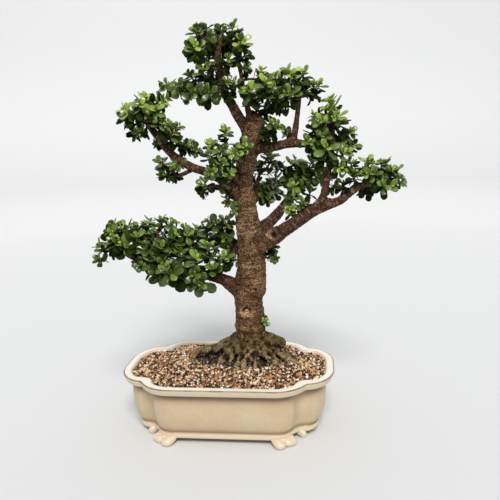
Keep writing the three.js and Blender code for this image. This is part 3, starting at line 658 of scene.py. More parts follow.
# Each limb is the points along its middle and its radius at each of them, in millimetres.
TRUNK = (
    [(0, 0, 48), (1, 0, 72), (2, 0, 94), (3, -1, 132), (1, -2, 179), (5, -2, 203), (7, -2, 240),
     (6, 0, 269), (2, 2, 298), (-1, 3, 328), (-2, 2, 357), (3, 0, 381), (9, -2, 406), (16, -2, 427),
     (19, -2, 444)],
    [14, 22, 26, 22, 20.5, 22, 19.5, 18.5, 16.5, 15.5, 12.5, 13, 14.5, 15, 12])
BRANCHES = [
    # low on the left, over the left end of the pot
    ([(-9, 0, 191), (-24, -8, 205), (-36, -14, 214), (-53, -20, 220), (-80, -28, 229), (-116, -32, 238),
      (-144, -34, 245), (-164, -34, 253), (-183, -34, 265)],
     [12, 9.5, 7.6, 6.4, 5.8, 5.2, 4.6, 3.8, 2.6]),
    ([(-126, -32, 241), (-134, -28, 256), (-142, -26, 271), (-152, -24, 284), (-170, -20, 286),
      (-189, -22, 285)], [4.2, 3.6, 3.2, 2.8, 2.4, 2]),
    ([(-134, -28, 256), (-129, -22, 268), (-128, -14, 283)], [3.2, 2.4, 2]),
    # low at the back
    ([(7, 6, 244), (-13, 26, 248), (-38, 48, 252), (-64, 72, 254), (-89, 96, 247)],
     [11, 7.5, 5.6, 4.4, 3]),
    ([(-38, 48, 252), (-42, 40, 275), (-41, 26, 293)], [3.6, 2.8, 2.2]),
    # the strong branch on the right, its pruned stub and its rising fork
    ([(14, -6, 261), (38, -12, 274), (59, -16, 287.5), (79, -18, 300.5), (97, -20, 312.5),
      (116, -20, 320.5), (135, -20, 327), (149, -20, 338), (165, -20, 347), (181, -20, 350),
      (213, -16, 353)],
     [15, 11.8, 9.4, 8.4, 7.6, 6.6, 5.7, 4.8, 3.9, 3, 2.2]),
    ([(18, -6, 270), (36, -15, 275), (43, -19, 277)], [12, 11.5, 9]),
    ([(112, -24, 318), (119, -25, 325), (122, -26, 329)], [5.5, 5, 4.4]),
    ([(97, -20, 313), (110, -20, 329), (114, -22, 342), (117, -24, 359), (120, -26, 375),
      (123, -26, 397), (125, -22, 423), (126, -20, 453)], [6.6, 5.2, 4.7, 4.3, 4, 3.6, 3, 2.2]),
    # two behind it
    ([(12, 6, 277), (36, 22, 295), (54, 30, 315), (63, 34, 328), (66, 38, 345), (64, 40, 367)],
     [11, 7.8, 6.3, 5.5, 4.7, 3.6]),
    ([(2, 8, 322), (10, 34, 328), (20, 60, 333), (30, 84, 335), (36, 104, 335)], [10, 7, 5.4, 4.2, 3]),
    ([(12, 38, 329), (14, 42, 344), (17, 42, 360)], [2.8, 2.5, 2.2]),
    # high on the left
    ([(-7, 0, 334), (-21, -6, 350), (-37, -12, 363), (-53, -18, 370.5), (-70, -22, 377), (-87, -24, 387),
      (-104, -26, 402), (-115, -26, 418), (-126, -26, 433), (-135, -24, 446), (-141, -24, 458)],
     [12, 8.8, 6.8, 5.8, 5.5, 5.3, 5, 4.6, 4.1, 3.3, 2.4]),
    ([(-66, -22, 377), (-81, -18, 370), (-95, -16, 366), (-104, -18, 375), (-112, -20, 380)],
     [3.4, 2.6, 2.5, 2.2, 1.9]),
    # short ones at the front
    ([(-6, -4, 354), (-15, -22, 367), (-26, -38, 376), (-36, -46, 385)], [6, 4.4, 3.6, 2.6]),
    ([(-16, 0, 334), (-28, -18, 346), (-40, -28, 350), (-52, -32, 349)], [6, 4.2, 3.2, 2.2]),
    ([(-20, -22, 380), (-23, -16, 400), (-24, -14, 420)], [2.7, 2.2, 1.9]),
    # high on the right
    ([(9, 0, 402), (27, -6, 402), (46, -10, 403.5), (66, -14, 407), (85, -18, 406), (101, -22, 403)],
     [13, 7.4, 6.3, 5.7, 4.7, 3.4]),
    ([(71, -14, 410), (74, -14, 425), (77, -14, 445), (80, -12, 469), (79, -12, 486)],
     [4.4, 3.6, 3.1, 2.7, 2]),
    # the two that make the top of the tree
    ([(9, -2, 424), (-5, 0, 444), (-16, 2, 464), (-25, 4, 478), (-29, 4, 494), (-31, 2, 513),
      (-33, 0, 526), (-30, 0, 541), (-26, 0, 555)], [10, 6.9, 6.1, 5.7, 5.1, 5, 4.6, 3.4, 2.5]),
    ([(12, 0, 436), (5, -2, 468), (2, -4, 488), (0, -4, 502), (-3, -4, 519), (-3, -6, 540),
      (-2, -8, 553)], [4.6, 3.1, 2.5, 2.3, 2.3, 2.3, 2]),
]
ROOTS = [
    # left, held over a hollow by two that grow down from it
    ([(-8, -5, 118), (-25, -12, 112.5), (-41, -16, 109.5), (-59, -20, 107), (-75, -23, 103),
      (-83, -25, 93), (-86, -27, 80)], [12, 9, 7.5, 6, 5, 4.5, 3.5]),
    ([(-56, -21, 107), (-60, -23, 98), (-62, -24, 86), (-64, -24, 74)], [4, 3, 2.6, 2.4]),
    ([(-10, 6, 119), (-26, 16, 109), (-44, 26, 100), (-60, 33, 88), (-66, 35, 76)], [11, 8, 6, 4.5, 3]),
    # front, the middle two crossing
    ([(-14, -12, 114), (-28, -22, 106), (-37, -28, 96), (-44, -33, 85), (-49, -36, 74)],
     [10, 7, 5.5, 4.5, 3]),
    ([(-19, -15, 118), (-10, -26, 108), (0, -34, 99), (9, -41, 89), (15, -45, 78)], [8, 6, 5, 4.2, 3]),
    ([(18, -14, 118), (11, -25, 109), (-1, -34, 101), (-13, -40, 92), (-21, -45, 80)],
     [9, 6.5, 5.5, 4.2, 3]),
    ([(12, -12, 118), (26, -21, 107), (36, -27, 97), (47, -34, 87), (54, -38, 75)], [10, 7, 6, 5, 3.5]),
    # right, a cut-back stub over a thinner one
    ([(8, -2, 120), (28, -6, 116.5), (42, -10, 113.5), (50, -13, 111)], [14, 12, 11, 9]),
    ([(22, -8, 112), (42, -14, 105), (55, -17, 97), (66, -20, 88), (72, -22, 76)], [10, 8, 6, 4.5, 3.5]),
    # back
    ([(2, 10, 118), (4, 26, 107), (7, 38, 95), (9, 45, 80)], [12, 9, 6, 4]),
    ([(12, 10, 117), (27, 22, 107), (40, 31, 96), (50, 37, 80)], [10, 7.5, 5.5, 4]),
]
# Thin roots fill the gaps between the thick ones, with this radius at four places along each.
THIN_ROOTS = 44
THIN_ROOT_RADII = np.array([4.2, 3.4, 2.6, 1.9])
THIN_ROOT_SEED = 23
CURVE_STEP = 3.0
# Each limb swells and thins a little along its length.
SWELL_SPACING = 9.0
SWELL_SHARE = 0.05
SWELL_SEED = 100
THICK_LIMB, THICK_SIDES, THIN_SIDES = 12, 24, 14
WOOD_FINENESS = 1.5
VERTICES_AT_ONCE = 4000
# How far apart the ring scars are, and how bold one must be to show as a pale line.
TRUNK_RING_SPACING, BRANCH_RING_SPACING = 11.0, 7.0
BOLD_RING = 0.76
RING_SEED = 300
# Hollows between the roots, each with its radius.
HOLLOWS = [(-67, -24, 95, 9), (-50, -26, 97, 8), (-33, -34, 102, 6), (-9, -39, 104, 5), (14, -37, 106, 7),
           (49, -24, 115, 7), (33, -28, 104, 5), (-70, 6, 98, 8), (-20, 40, 103, 7), (28, 38, 104, 7),
           (62, 6, 100, 7)]
HOLLOW_DEPTH = 6.0
# The middle of each pruning wound, its half width and half height, and how far both reach in depth.
SCAR, SCAR_SIZE = np.array([0.0, -23.0, 168.0]), (11.0, 10.5)
STUB, STUB_SIZE = np.array([42.5, -20.0, 280.5]), (9.5, 8.5)
WOUND_REACH = 12
CUT_TOP, CUT_TOP_SIZE = np.array([19.5, -2.0, 455.0]), (14, 14, 10)
SMOOTHING_ROUNDS = 12
# How far the bark's pattern is shifted from one limb to the next.
BARK_SHIFT = 37.0


def curve_through(points, radii, step=CURVE_STEP):
    """A smooth line through the points, with a radius at each step along it (Catmull-Rom)."""
    points, radii = np.array(points, float), np.array(radii, float)
    padded = np.vstack([2 * points[0] - points[1], points, 2 * points[-1] - points[-2]])
    line, thick = [], []
    for i in range(len(points) - 1):
        p0, p1, p2, p3 = padded[i:i + 4]
        count = max(2, int(np.linalg.norm(p2 - p1) / step))
        for t in np.linspace(0, 1, count, endpoint=False):
            line.append(0.5 * (2 * p1 + (p2 - p0) * t + (2 * p0 - 5 * p1 + 4 * p2 - p3) * t ** 2
                               + (3 * p1 - p0 - 3 * p2 + p3) * t ** 3))
            thick.append(radii[i] + (radii[i + 1] - radii[i]) * (3 * t ** 2 - 2 * t ** 3))
    return np.array(line + [points[-1]]), np.array(thick + [radii[-1]])


def tangents_and_sides(line):
    """The direction along a line at each point, and one across it that turns as little as it can."""
    along = np.gradient(line, axis=0)
    along /= np.linalg.norm(along, axis=1)[:, None]
    across = np.cross(along[0], (0.3, 1.0, 0.1))
    sides = []
    for direction in along:
        across = across - direction * (across @ direction)
        across /= np.linalg.norm(across)
        sides.append(across)
    return along, np.array(sides)


def tube(line, radii, sides):
    """Vertices and faces of a closed round tube along a line."""
    along, across = tangents_and_sides(line)
    other = np.cross(along, across)
    turns = np.linspace(0, 2 * math.pi, sides, endpoint=False)
    rings = [centre + radius * (np.outer(np.cos(turns), a) + np.outer(np.sin(turns), b))
             for centre, radius, a, b in zip(line, radii, across, other)]
    ends = [line[0] - along[0] * radii[0] * 0.4, line[-1] + along[-1] * radii[-1] * 0.5]
    return np.vstack(rings + [ends]), shell_faces(len(line), sides)


def row_dots(first, second):
    """The dot product of each row with the same row of the other array."""
    return np.einsum("ij,ij->i", first, second)


chance = np.random.default_rng(THIN_ROOT_SEED)
thin_roots = []
for number in range(THIN_ROOTS):
    turn = 2 * math.pi * (number + chance.uniform(-0.4, 0.4)) / THIN_ROOTS
    reach = chance.uniform(42, 64)
    bend = chance.uniform(-0.9, 0.9)
    turns = [turn + bend * s for s in (0, 0.25, 0.6, 1.0)]
    outward = np.array([[math.cos(a), math.sin(a)] for a in turns])
    distances = np.array([20, 27, 0.5 * reach + 15, reach])
    heights = np.array([chance.uniform(112, 121), 109, 98, 84]) + chance.uniform(-3, 3, 4)
    route = np.column_stack([outward * distances[:, None], heights])
    thin_roots.append((route, chance.uniform(0.6, 1.3) * THIN_ROOT_RADII))

limbs = [curve_through(*limb) for limb in [TRUNK, *BRANCHES, *ROOTS, *thin_roots]]
knobbly = []
for number, (line, radii) in enumerate(limbs):
    travelled = np.arange(len(line)) * CURVE_STEP
    knots = np.arange(0, travelled[-1] + 12, SWELL_SPACING)
    chance = np.random.default_rng(SWELL_SEED + number)
    swell = np.interp(travelled, knots, chance.uniform(-1, 1, len(knots)))
    knobbly.append((line, radii * (1 + SWELL_SHARE * swell)))
tubes = []
for line, radii in knobbly:
    tubes.append(tube(line, radii, THICK_SIDES if radii.max() > THICK_LIMB else THIN_SIDES))
wood = joined("wood_core", tubes)
wood = with_modifiers(wood, [("REMESH", {"mode": "VOXEL", "voxel_size": WOOD_FINENESS * MM}),
                             ("SMOOTH", {"factor": 0.5, "iterations": 3})], "trunk_and_branches_wood")
corners = vertex_places(wood.data) / MM
normals = np.empty(len(wood.data.vertices) * 3)
wood.data.vertex_normals.foreach_get("vector", normals)
normals = normals.reshape(-1, 3)

# Which limb each vertex belongs to, how far along it, and at what angle round it.
line_points = np.vstack([line for line, _ in limbs])
line_radii = np.concatenate([radii for _, radii in limbs])
line_limb = np.concatenate([np.full(len(line), i) for i, (line, _) in enumerate(limbs)])
line_along = np.concatenate([run_along(line) for line, _ in limbs])
directions = [tangents_and_sides(line) for line, _ in limbs]
line_tangent = np.vstack([d[0] for d in directions])
line_across = np.vstack([d[1] for d in directions])
nearest = np.empty(len(corners), int)
for start in range(0, len(corners), VERTICES_AT_ONCE):
    chunk = corners[start:start + VERTICES_AT_ONCE]
    gaps = np.linalg.norm(chunk[:, None] - line_points[None], axis=2) - line_radii[None]
    nearest[start:start + VERTICES_AT_ONCE] = gaps.argmin(axis=1)
away = corners - line_points[nearest]
along_limb = line_along[nearest] + row_dots(away, line_tangent[nearest])
out_x = row_dots(away, line_across[nearest])
out_y = row_dots(away, np.cross(line_tangent, line_across)[nearest])
angle = np.arctan2(out_y, out_x)
girth = line_radii[nearest]
limb_number = line_limb[nearest]

# Ring scars across each limb, flutes running up from the roots, and low lumps.
rings = np.zeros(len(corners))
scar_line = np.zeros(len(corners))
for number in range(len(limbs)):
    mine = limb_number == number
    if not mine.any():
        continue
    chance = np.random.default_rng(RING_SEED + number)
    spacing = TRUNK_RING_SPACING if number == 0 else BRANCH_RING_SPACING
    length = along_limb[mine].max() + spacing
    for place in np.cumsum(chance.uniform(0.5, 1.5, int(length / spacing) + 2) * spacing):
        tilt = chance.uniform(0.5, 2.0) * np.sin(angle[mine] + chance.uniform(0, 6.28))
        off = along_limb[mine] + tilt - place
        bold = chance.uniform(0.4, 1.0)
        rings[mine] += bold * (np.exp(-(off / 1.5) ** 2) - 0.8 * np.exp(-((off - 2.6) / 1.8) ** 2))
        scar_line[mine] += 3 * max(0.0, bold - BOLD_RING) * np.exp(-(off / 1.0) ** 2)
rough = np.clip(girth / 20, 0.15, 1.0)
low = np.clip((150 - corners[:, 2]) / 45, 0, 1) * (girth > 8)
flutes = ripple(np.column_stack([np.cos(angle) * 20, np.sin(angle) * 20, corners[:, 2] * 0.12]), 11.0, 31)
push = rings * 0.75 * rough + ripple(corners, 26.0, 32) * 0.9 * rough
push += ripple(corners, 7.0, 33) * 0.35 * rough
push += flutes * 2.6 * low + ripple(corners, 4.5, 34) * 0.5 * np.clip(low * 2, 0.3, 1) + 0.7
root_zone = np.clip((128 - corners[:, 2]) / 14, 0, 1)
push += root_zone * (ripple(corners * (1, 1, 0.45), 8.0, 35) * 1.7 + ripple(corners, 5.0, 36) * 0.7)
hollow = np.zeros(len(corners))
for *place, radius in HOLLOWS:
    hollow = np.maximum(hollow, np.exp(-(np.linalg.norm(corners - np.array(place), axis=1) / radius) ** 2))
push -= HOLLOW_DEPTH * hollow


def round_wound(centre, size):
    """How far each vertex is from a wound's middle, 1 at the outside of its raised lip, and its bearing."""
    across, up = size
    gap = corners - centre
    uneven = 1 + 0.22 * ripple(corners, 9.0, 41) + 0.08 * ripple(corners, 4.0, 42)
    far = np.sqrt((gap[:, 0] / across) ** 2 + (gap[:, 2] / up) ** 2) * uneven
    return far + (np.abs(gap[:, 1]) > WOUND_REACH) * 9, np.arctan2(gap[:, 2], gap[:, 0])


def band(distance, middle, width):
    """1 at one distance from a wound's middle, and fading to 0 on both sides of it."""
    return np.exp(-((distance - middle) / width) ** 2)


scar, scar_bearing = round_wound(SCAR, SCAR_SIZE)
stub, stub_bearing = round_wound(STUB, STUB_SIZE)
lower_left = 0.5 + 0.5 * np.cos(scar_bearing + 2.0)
upper = np.clip(0.5 + np.sin(scar_bearing), 0, 1)
left_side = 0.5 + 0.5 * np.cos(stub_bearing - 3.6)
# Each wound has a raised lip round a sunk middle.
push += 2.6 * band(scar, 0.72, 0.26) * (0.35 + 0.65 * lower_left) - 2.6 * band(scar, 0.42, 0.16) * upper
push += 1.8 * band(stub, 0.75, 0.25) * (0.5 + left_side) - 3.5 * band(stub, 0, 0.34)
corners += normals * push[:, None]
wood.data.vertices.foreach_set("co", (corners * MM).ravel())
wood.data.update()
wood.data.shade_smooth()

# Pale cut wood in the wounds and on the cut-off top, with painted highlight on some of their lips, and
# painted shade in the dark creases round them.
# The lips on the lower left of the scar and on the left of the stub are painted paler, a painted highlight;
# the rest is cut wood and its pale callus.
fresh_cut = band(scar, 0.12, 0.26) + 1.1 * band(scar, 0.68, 0.2) * lower_left ** 2
fresh_cut += 0.2 * band(scar, 0.85, 0.12)
fresh_cut += 0.5 * band(stub, 0.72, 0.26) * left_side ** 2
fresh_cut += 0.24 * band(scar, 0.95, 0.4) + 0.13 * band(stub, 0.9, 0.45) * (0.4 + left_side)
fresh_cut += np.exp(-(np.linalg.norm((corners - CUT_TOP) / CUT_TOP_SIZE, axis=1)) ** 4) * 0.12
# Painted shade: dark in the creases round the wounds, most on the sides turned from the light, in the
# stub's hollow middle and in the hollows between the roots.
crease = 1.1 * band(scar, 0.42, 0.14) * upper + 0.7 * band(scar, 1.0, 0.12) * (1 - lower_left)
crease += band(stub, 0, 0.34) + 0.8 * band(stub, 1.05, 0.13) * (1.2 - left_side) + 0.9 * hollow

# How far each vertex stands proud of its surroundings: lighter on ridges, partly wear and partly painted
# highlight, and darker in the hollows with painted shade.
ends = np.empty(len(wood.data.edges) * 2, np.int32)
wood.data.edges.foreach_get("vertices", ends)
ends = ends.reshape(-1, 2)
links = np.bincount(ends.ravel(), minlength=len(corners))[:, None]
smoothed = corners.copy()
for _ in range(SMOOTHING_ROUNDS):
    total = np.zeros_like(smoothed)
    np.add.at(total, ends[:, 0], smoothed[ends[:, 1]])
    np.add.at(total, ends[:, 1], smoothed[ends[:, 0]])
    smoothed = total / links
proud = row_dots(corners - smoothed, normals)
worn = np.clip(0.5 + proud * 0.45, 0, 1)
wrap = np.column_stack([np.cos(angle), np.sin(angle)]) * (girth * 0.35)[:, None]
mark(wood.data, "bark_run", "FLOAT_VECTOR", np.column_stack([wrap, along_limb + BARK_SHIFT * limb_number]))
for name, values in (("girth_mm", girth), ("worn", worn), ("crease", np.clip(crease, 0, 1)),
                     ("scar_line", np.clip(scar_line * rough, 0, 1)),
                     ("fresh_cut", np.clip(fresh_cut, 0, 1))):
    mark(wood.data, name, "FLOAT", values)


def bark():
    finish = Finish("ringed bark", Specular_IOR_Level=0.1)
    run = finish.attribute("bark_run", "Vector")
    girth_mm = finish.attribute("girth_mm")
    cut_and_lit_lip = finish.attribute("fresh_cut")
    worn = finish.attribute("worn")
    crease = finish.attribute("crease")
    height = finish.axis(2)
    old = girth_mm.between(8.0, 16.0)
    bands = finish.noise(0.32, 4.0, 0.6, run)
    fine_bands = finish.noise(1.1, 3.0, 0.6, run)
    patches = finish.noise(55.0, 5.0, 0.6)
    grains = finish.noise(560.0, 3.0, 0.65)
    cells = 1 - finish.node("ShaderNodeTexVoronoi", {"feature": "SMOOTH_F1"}, {
        "Vector": finish.place, "Scale": 430.0, "Smoothness": 0.3}, "Distance") * 1.5
    upward = height.between(0.19, 0.30)
    trunk_marks = ((grains - 0.5) * (0.36 - 0.13 * upward) + cells * 0.13
                   + fine_bands * 0.34 + patches * 0.28 + worn * 0.12 + 0.165)
    trunk = finish.ramp(trunk_marks, [
        (0.46, (0.014, 0.006, 0.003)), (0.54, (0.070, 0.031, 0.013)), (0.62, (0.185, 0.098, 0.045)),
        (0.74, (0.56, 0.39, 0.21))])
    branch = finish.ramp(fine_bands * 0.45 + grains * 0.5 + worn * 0.08, [
        (0.44, (0.014, 0.006, 0.003)), (0.54, (0.055, 0.023, 0.013)), (0.65, (0.20, 0.108, 0.065)),
        (0.75, (0.46, 0.31, 0.21))])
    tint = finish.mix(old, branch, trunk)
    tint = finish.mix(bands.between(0.56, 0.62) * 0.45, tint, (0.34, 0.25, 0.16))
    tint = finish.mix((1 - bands.between(0.36, 0.42)) * 0.6, tint, (0.035, 0.02, 0.012))
    scar_line = finish.attribute("scar_line") * finish.noise(95.0, 3.0).between(0.40, 0.58)
    tint = finish.mix(scar_line * 0.7, tint, (0.50, 0.38, 0.26))
    red = finish.noise(38.0, 4.0).between(0.46, 0.62) * (1 - height.between(0.17, 0.26))
    red = red * height.between(0.118, 0.15)
    tint = finish.mix(red * 0.45, tint, (0.115, 0.040, 0.017))
    moss = (1 - height.between(0.115, 0.155)) * patches.between(0.38, 0.58)
    tint = finish.mix(moss * 0.5, tint, (0.095, 0.082, 0.020))
    cut_wood = finish.ramp(grains, [
        (0.38, (0.17, 0.075, 0.032)), (0.5, (0.42, 0.24, 0.12)), (0.66, (0.76, 0.54, 0.33))])
    healed = finish.mix(grains.between(0.40, 0.62), (0.045, 0.018, 0.009), (0.30, 0.155, 0.090))
    tint = finish.mix(cut_and_lit_lip.between(0.03, 0.2) * 0.7, tint, healed)
    tint = finish.mix(cut_and_lit_lip.between(0.22, 0.8) * 0.95, tint, cut_wood)
    root_zone = 1 - (height + patches * 0.04).between(0.112, 0.150)
    # Low down the ridges are painted pale tan: partly wear and partly painted highlight.
    ridge_wear_and_highlight = finish.mix(grains.between(0.38, 0.62), (0.095, 0.058, 0.026), (0.62, 0.47, 0.27))
    tint = finish.mix(worn.between(0.5, 0.85) * 0.72 * root_zone, tint, ridge_wear_and_highlight)
    # The hollows are painted near black: painted shade.
    hollow_shade = (1 - worn.between(0.1, 0.5)) * (0.55 + 0.35 * root_zone)
    tint = finish.mix(hollow_shade, tint, (0.016, 0.008, 0.004))
    # Painted shade in the creases, in the stub's hollow and between the roots.
    tint = finish.mix(crease * 0.9, tint, (0.012, 0.006, 0.004))
    relief = grains * 0.5 + cells * 0.6 + fine_bands * 0.7 + bands * 0.7
    return finish.done(Base_Color=tint, Roughness=0.62 + 0.25 * grains,
                       Normal=finish.bump(relief, 0.0014, 0.9))


wood.data.materials.append(bark())
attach(wood, "root")
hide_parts("trunk_and_branches")


# ---------------------------------------------------------------- foliage
#
# Small thick round leaves in crossed pairs on soft young stems, bright yellow-green at the growing tips and
# deep green behind them. Each pad is the growth of one branch end, clipped to shape once or twice a year.

# The middle of each shoot's leaves and how far they reach round it, in millimetres.
PADS = {
    "lower_left_tip": [
        (-195, -26, 286, 13), (-203, -34, 265, 10), (-213, -34, 247, 6), (-176, -14, 287, 15),
        (-174, -42, 270, 14), (-156, -40, 269, 16), (-145, -6, 290, 13), (-150, -42, 243, 8),
        (-157, -24, 293, 10), (-189, -24, 296, 8), (-180, -38, 276, 11), (-194, -32, 270, 9)],
    "lower_left_middle": [
        (-125, -4, 299, 12), (-131, -14, 280, 13), (-106, -32, 274, 14), (-89, -18, 279, 13),
        (-74, -4, 280, 12), (-131, -44, 246, 13), (-113, -46, 247, 14), (-122, -52, 230, 11),
        (-101, -58, 232, 15), (-94, -38, 255, 13), (-84, -36, 217, 11), (-109, -14, 297, 8),
        (-118, -42, 262, 11), (-88, -14, 290, 7), (-140, -40, 262, 11)],
    "lower_left_inner": [
        (-71, -50, 230, 13), (-60, -48, 216, 13), (-69, -36, 247, 13), (-45, -42, 234, 11),
        (-50, -30, 263, 11), (-28, -22, 247, 10), (-46, -32, 250, 10), (-36, -28, 237, 9),
        (-26, -16, 243, 7)],
    "lower_back_left": [
        (-50, 16, 290, 12), (-33, 22, 293, 13), (-33, 30, 269, 12), (-28, 34, 251, 11),
        (-68, 44, 269, 12), (-96, 52, 252, 14), (-113, 72, 246, 14), (-96, 92, 235, 14),
        (-68, 104, 246, 14), (-46, 90, 266, 14), (-76, 70, 269, 14)],
    "upper_left_tip": [
        (-136, -18, 474, 11), (-115, -10, 471, 12), (-154, -30, 452, 14), (-136, -34, 462, 12),
        (-164, -22, 448, 8), (-140, -20, 444, 11), (-117, -34, 455, 12), (-115, -30, 440, 11),
        (-156, -10, 428, 8), (-136, 10, 465, 12), (-152, 12, 457, 12), (-112, -24, 427, 9),
        (-144, -22, 431, 8), (-111, -12, 468, 9)],
    "upper_left_inner": [
        (-95, -38, 422, 12), (-88, -36, 431, 8), (-83, 0, 407, 10), (-73, 4, 402, 10),
        (-121, -14, 410, 6), (-94, -18, 419, 8), (-97, -36, 434, 8)],
    "upper_left_under": [
        (-113, -22, 385, 11), (-109, -24, 369, 10), (-92, -26, 384, 10), (-97, -14, 363, 6)],
    "centre_front": [
        (-42, -50, 393, 11), (-26, -50, 384, 12), (-36, -56, 375, 11), (-20, -48, 367, 11),
        (-40, -34, 408, 8), (-8, -42, 396, 10), (4, -38, 405, 10), (-14, -22, 381, 9)],
    "centre_sprig": [(-23, -14, 423, 9), (-25, -14, 411, 7), (-27, -26, 401, 8)],
    "centre_lower": [
        (-52, -34, 355, 10), (-54, -32, 343, 6), (-29, -26, 350, 10), (-22, -14, 327, 8),
        (-14, -16, 315, 6)],
    "apex": [
        (-59, -12, 556, 11), (-60, -20, 538, 13), (-66, -8, 530, 8), (-47, -2, 562, 12),
        (-42, 10, 548, 14), (-27, 2, 563, 11), (-9, -12, 559, 11), (6, -14, 544, 11), (-13, 6, 549, 13),
        (4, -8, 526, 11), (-18, -12, 519, 11), (-55, 8, 526, 11), (-28, 34, 550, 13), (-50, 38, 560, 13),
        (-4, 28, 545, 11), (5, -8, 510, 8)],
    "apex_left": [
        (-105, -6, 492, 8), (-88, -12, 487, 11), (-70, -2, 501, 10), (-52, -8, 502, 14),
        (-66, -26, 480, 14), (-46, -16, 477, 14), (-42, 10, 495, 11), (-43, -4, 512, 9)],
    "apex_inner": [(-18, -22, 488, 10), (-16, -18, 476, 8), (-8, -12, 490, 8)],
    "upper_right": [
        (17, -30, 475, 12), (35, -36, 486, 11), (29, -8, 499, 10), (47, -4, 496, 11), (65, -8, 499, 12),
        (86, -16, 495, 11), (88, -16, 480, 11), (104, -18, 483, 8), (102, -12, 471, 7), (16, 8, 463, 13),
        (35, -22, 469, 12), (52, -26, 470, 12), (68, -24, 471, 12), (56, -6, 459, 10), (31, 2, 451, 10),
        (37, 28, 483, 13), (64, 34, 488, 13), (47, 44, 472, 13)],
    "upper_right_inner": [(40, -26, 434, 10), (47, -22, 428, 12), (35, -18, 418, 9), (64, -4, 421, 8)],
    "right_tower": [
        (124, -16, 459, 11), (121, -22, 449, 11), (132, -28, 441, 11), (105, -8, 442, 8),
        (111, -26, 432, 12), (135, -20, 430, 11), (148, -10, 419, 8), (99, -18, 424, 10),
        (110, -36, 413, 11), (92, -34, 409, 7), (134, -10, 414, 11), (116, -44, 399, 13),
        (100, -26, 400, 8), (138, -32, 391, 11), (154, 0, 402, 7), (134, -34, 374, 9), (124, 14, 432, 11),
        (117, 18, 413, 11), (113, -40, 386, 9)],
    "right_tip": [
        (151, -14, 374, 10), (154, -26, 359, 12), (140, -16, 348, 10), (173, -18, 374, 11),
        (178, -32, 363, 11), (196, -12, 375, 10), (198, -22, 364, 11), (193, -36, 348, 11),
        (209, -18, 363, 10), (219, -14, 349, 7), (170, -14, 340, 9), (128, -8, 345, 7), (172, 8, 364, 11),
        (198, 12, 366, 10)],
    "back_right": [
        (35, 46, 383, 12), (47, 44, 371, 13), (65, 36, 373, 13), (80, 22, 369, 13), (95, 16, 378, 13),
        (65, 30, 356, 12), (86, 14, 360, 13), (105, 8, 360, 13), (76, 8, 343, 13), (93, 4, 335, 11),
        (69, -4, 329, 10), (83, -2, 322, 10), (82, 52, 350, 14), (66, -14, 314, 9)],
    "back_centre": [
        (20, 48, 339, 12), (36, 50, 335, 12), (27, 42, 328, 11), (18, 40, 374, 11), (30, 44, 387, 9),
        (10, 44, 350, 10)],
    "rear": [
        (32, 84, 340, 12), (20, 92, 331, 12), (40, 104, 337, 13), (24, 112, 332, 12), (34, 116, 326, 11),
        (30, 66, 345, 11)],
    "trunk_right": [(39, 4, 256, 8), (40, -2, 243, 7), (32, 14, 249, 9)],
    "basal_sprout": [(25, -13, 148, 6)],
}
# How large the leaves of some pads are beside the rest, how much darker (above 0) or younger (below 0),
# and how much more upright their shoots stand.
PAD_HABITS = {
    "lower_left_tip": (1.2, 0.1, 0.3), "lower_left_middle": (1.2, 0.12, 0.3),
    "lower_left_inner": (1.15, 0.1, 0.15), "lower_back_left": (1.05, 0.1),
    "upper_left_tip": (1.14, -0.07), "upper_left_inner": (1.08, 0.04), "upper_left_under": (1.0, 0.05),
    "centre_front": (0.98, -0.08), "centre_lower": (1.0, 0.15), "centre_sprig": (1.0, 0.1),
    "apex": (1.1, 0.0), "apex_left": (1.1, 0.12), "upper_right": (1.12, -0.04),
    "right_tower": (1.18, -0.1), "right_tip": (1.1, -0.04), "back_right": (1.08, 0.0),
    "back_centre": (1.05, 0.02), "rear": (1.0, 0.12), "trunk_right": (1.0, 0.35),
    "basal_sprout": (1.0, -0.3),
}
# Along a leaf from its base: the place, half width and half thickness, as shares of its length.
LEAF_STATIONS = [(0.0, 0.045, 0.035), (0.14, 0.11, 0.05), (0.38, 0.26, 0.062), (0.66, 0.35, 0.062),
                 (0.89, 0.24, 0.048)]
LEAF_TIP = (1.0, 0.02, 0.012)
LEAF_BENDS = [0.04, 0.15, -0.12]
LEAF_REACH = 1.4
STEM_RADII = [2.1, 1.7, 1.3, 1.0, 0.6]
STEM_STEP = 2.0
STEM_SIDES = 7
# How many of the older leaves have fallen.
FALLEN_SHARE = 0.15
PAD_SEED = 500
# For each pair of leaves down from the tip of a shoot: its length, its distance from the tip, its lift in
# degrees and its age from 0 to 1.
LEAF_PAIRS = [(0.40, 0.0, 62, 0.0), (0.72, 0.10, 38, 0.24), (0.94, 0.30, 18, 0.46), (1.0, 0.56, 4, 0.58),
              (0.94, 0.90, -4, 0.68), (0.85, 1.25, -10, 0.76)]
UP = np.array([0.0, 0.0, 1.0])
TO_THE_FRONT = np.array([0.12, -1.0, 0.1])
TO_THE_BACK = np.array([0.0, 0.35, 0.0])
LAST_FACING_FRONT = 50
# A leaf is shaded by those that stand between these distances ahead of it towards the sky, and this close
# beside the way there. Five of them shade it fully.
TO_THE_SKY = np.array([0.35, -0.55, 0.75])
SHADE_NEAR, SHADE_FAR, SHADE_WIDTH = 5, 45, 8
FULL_SHADE = 5


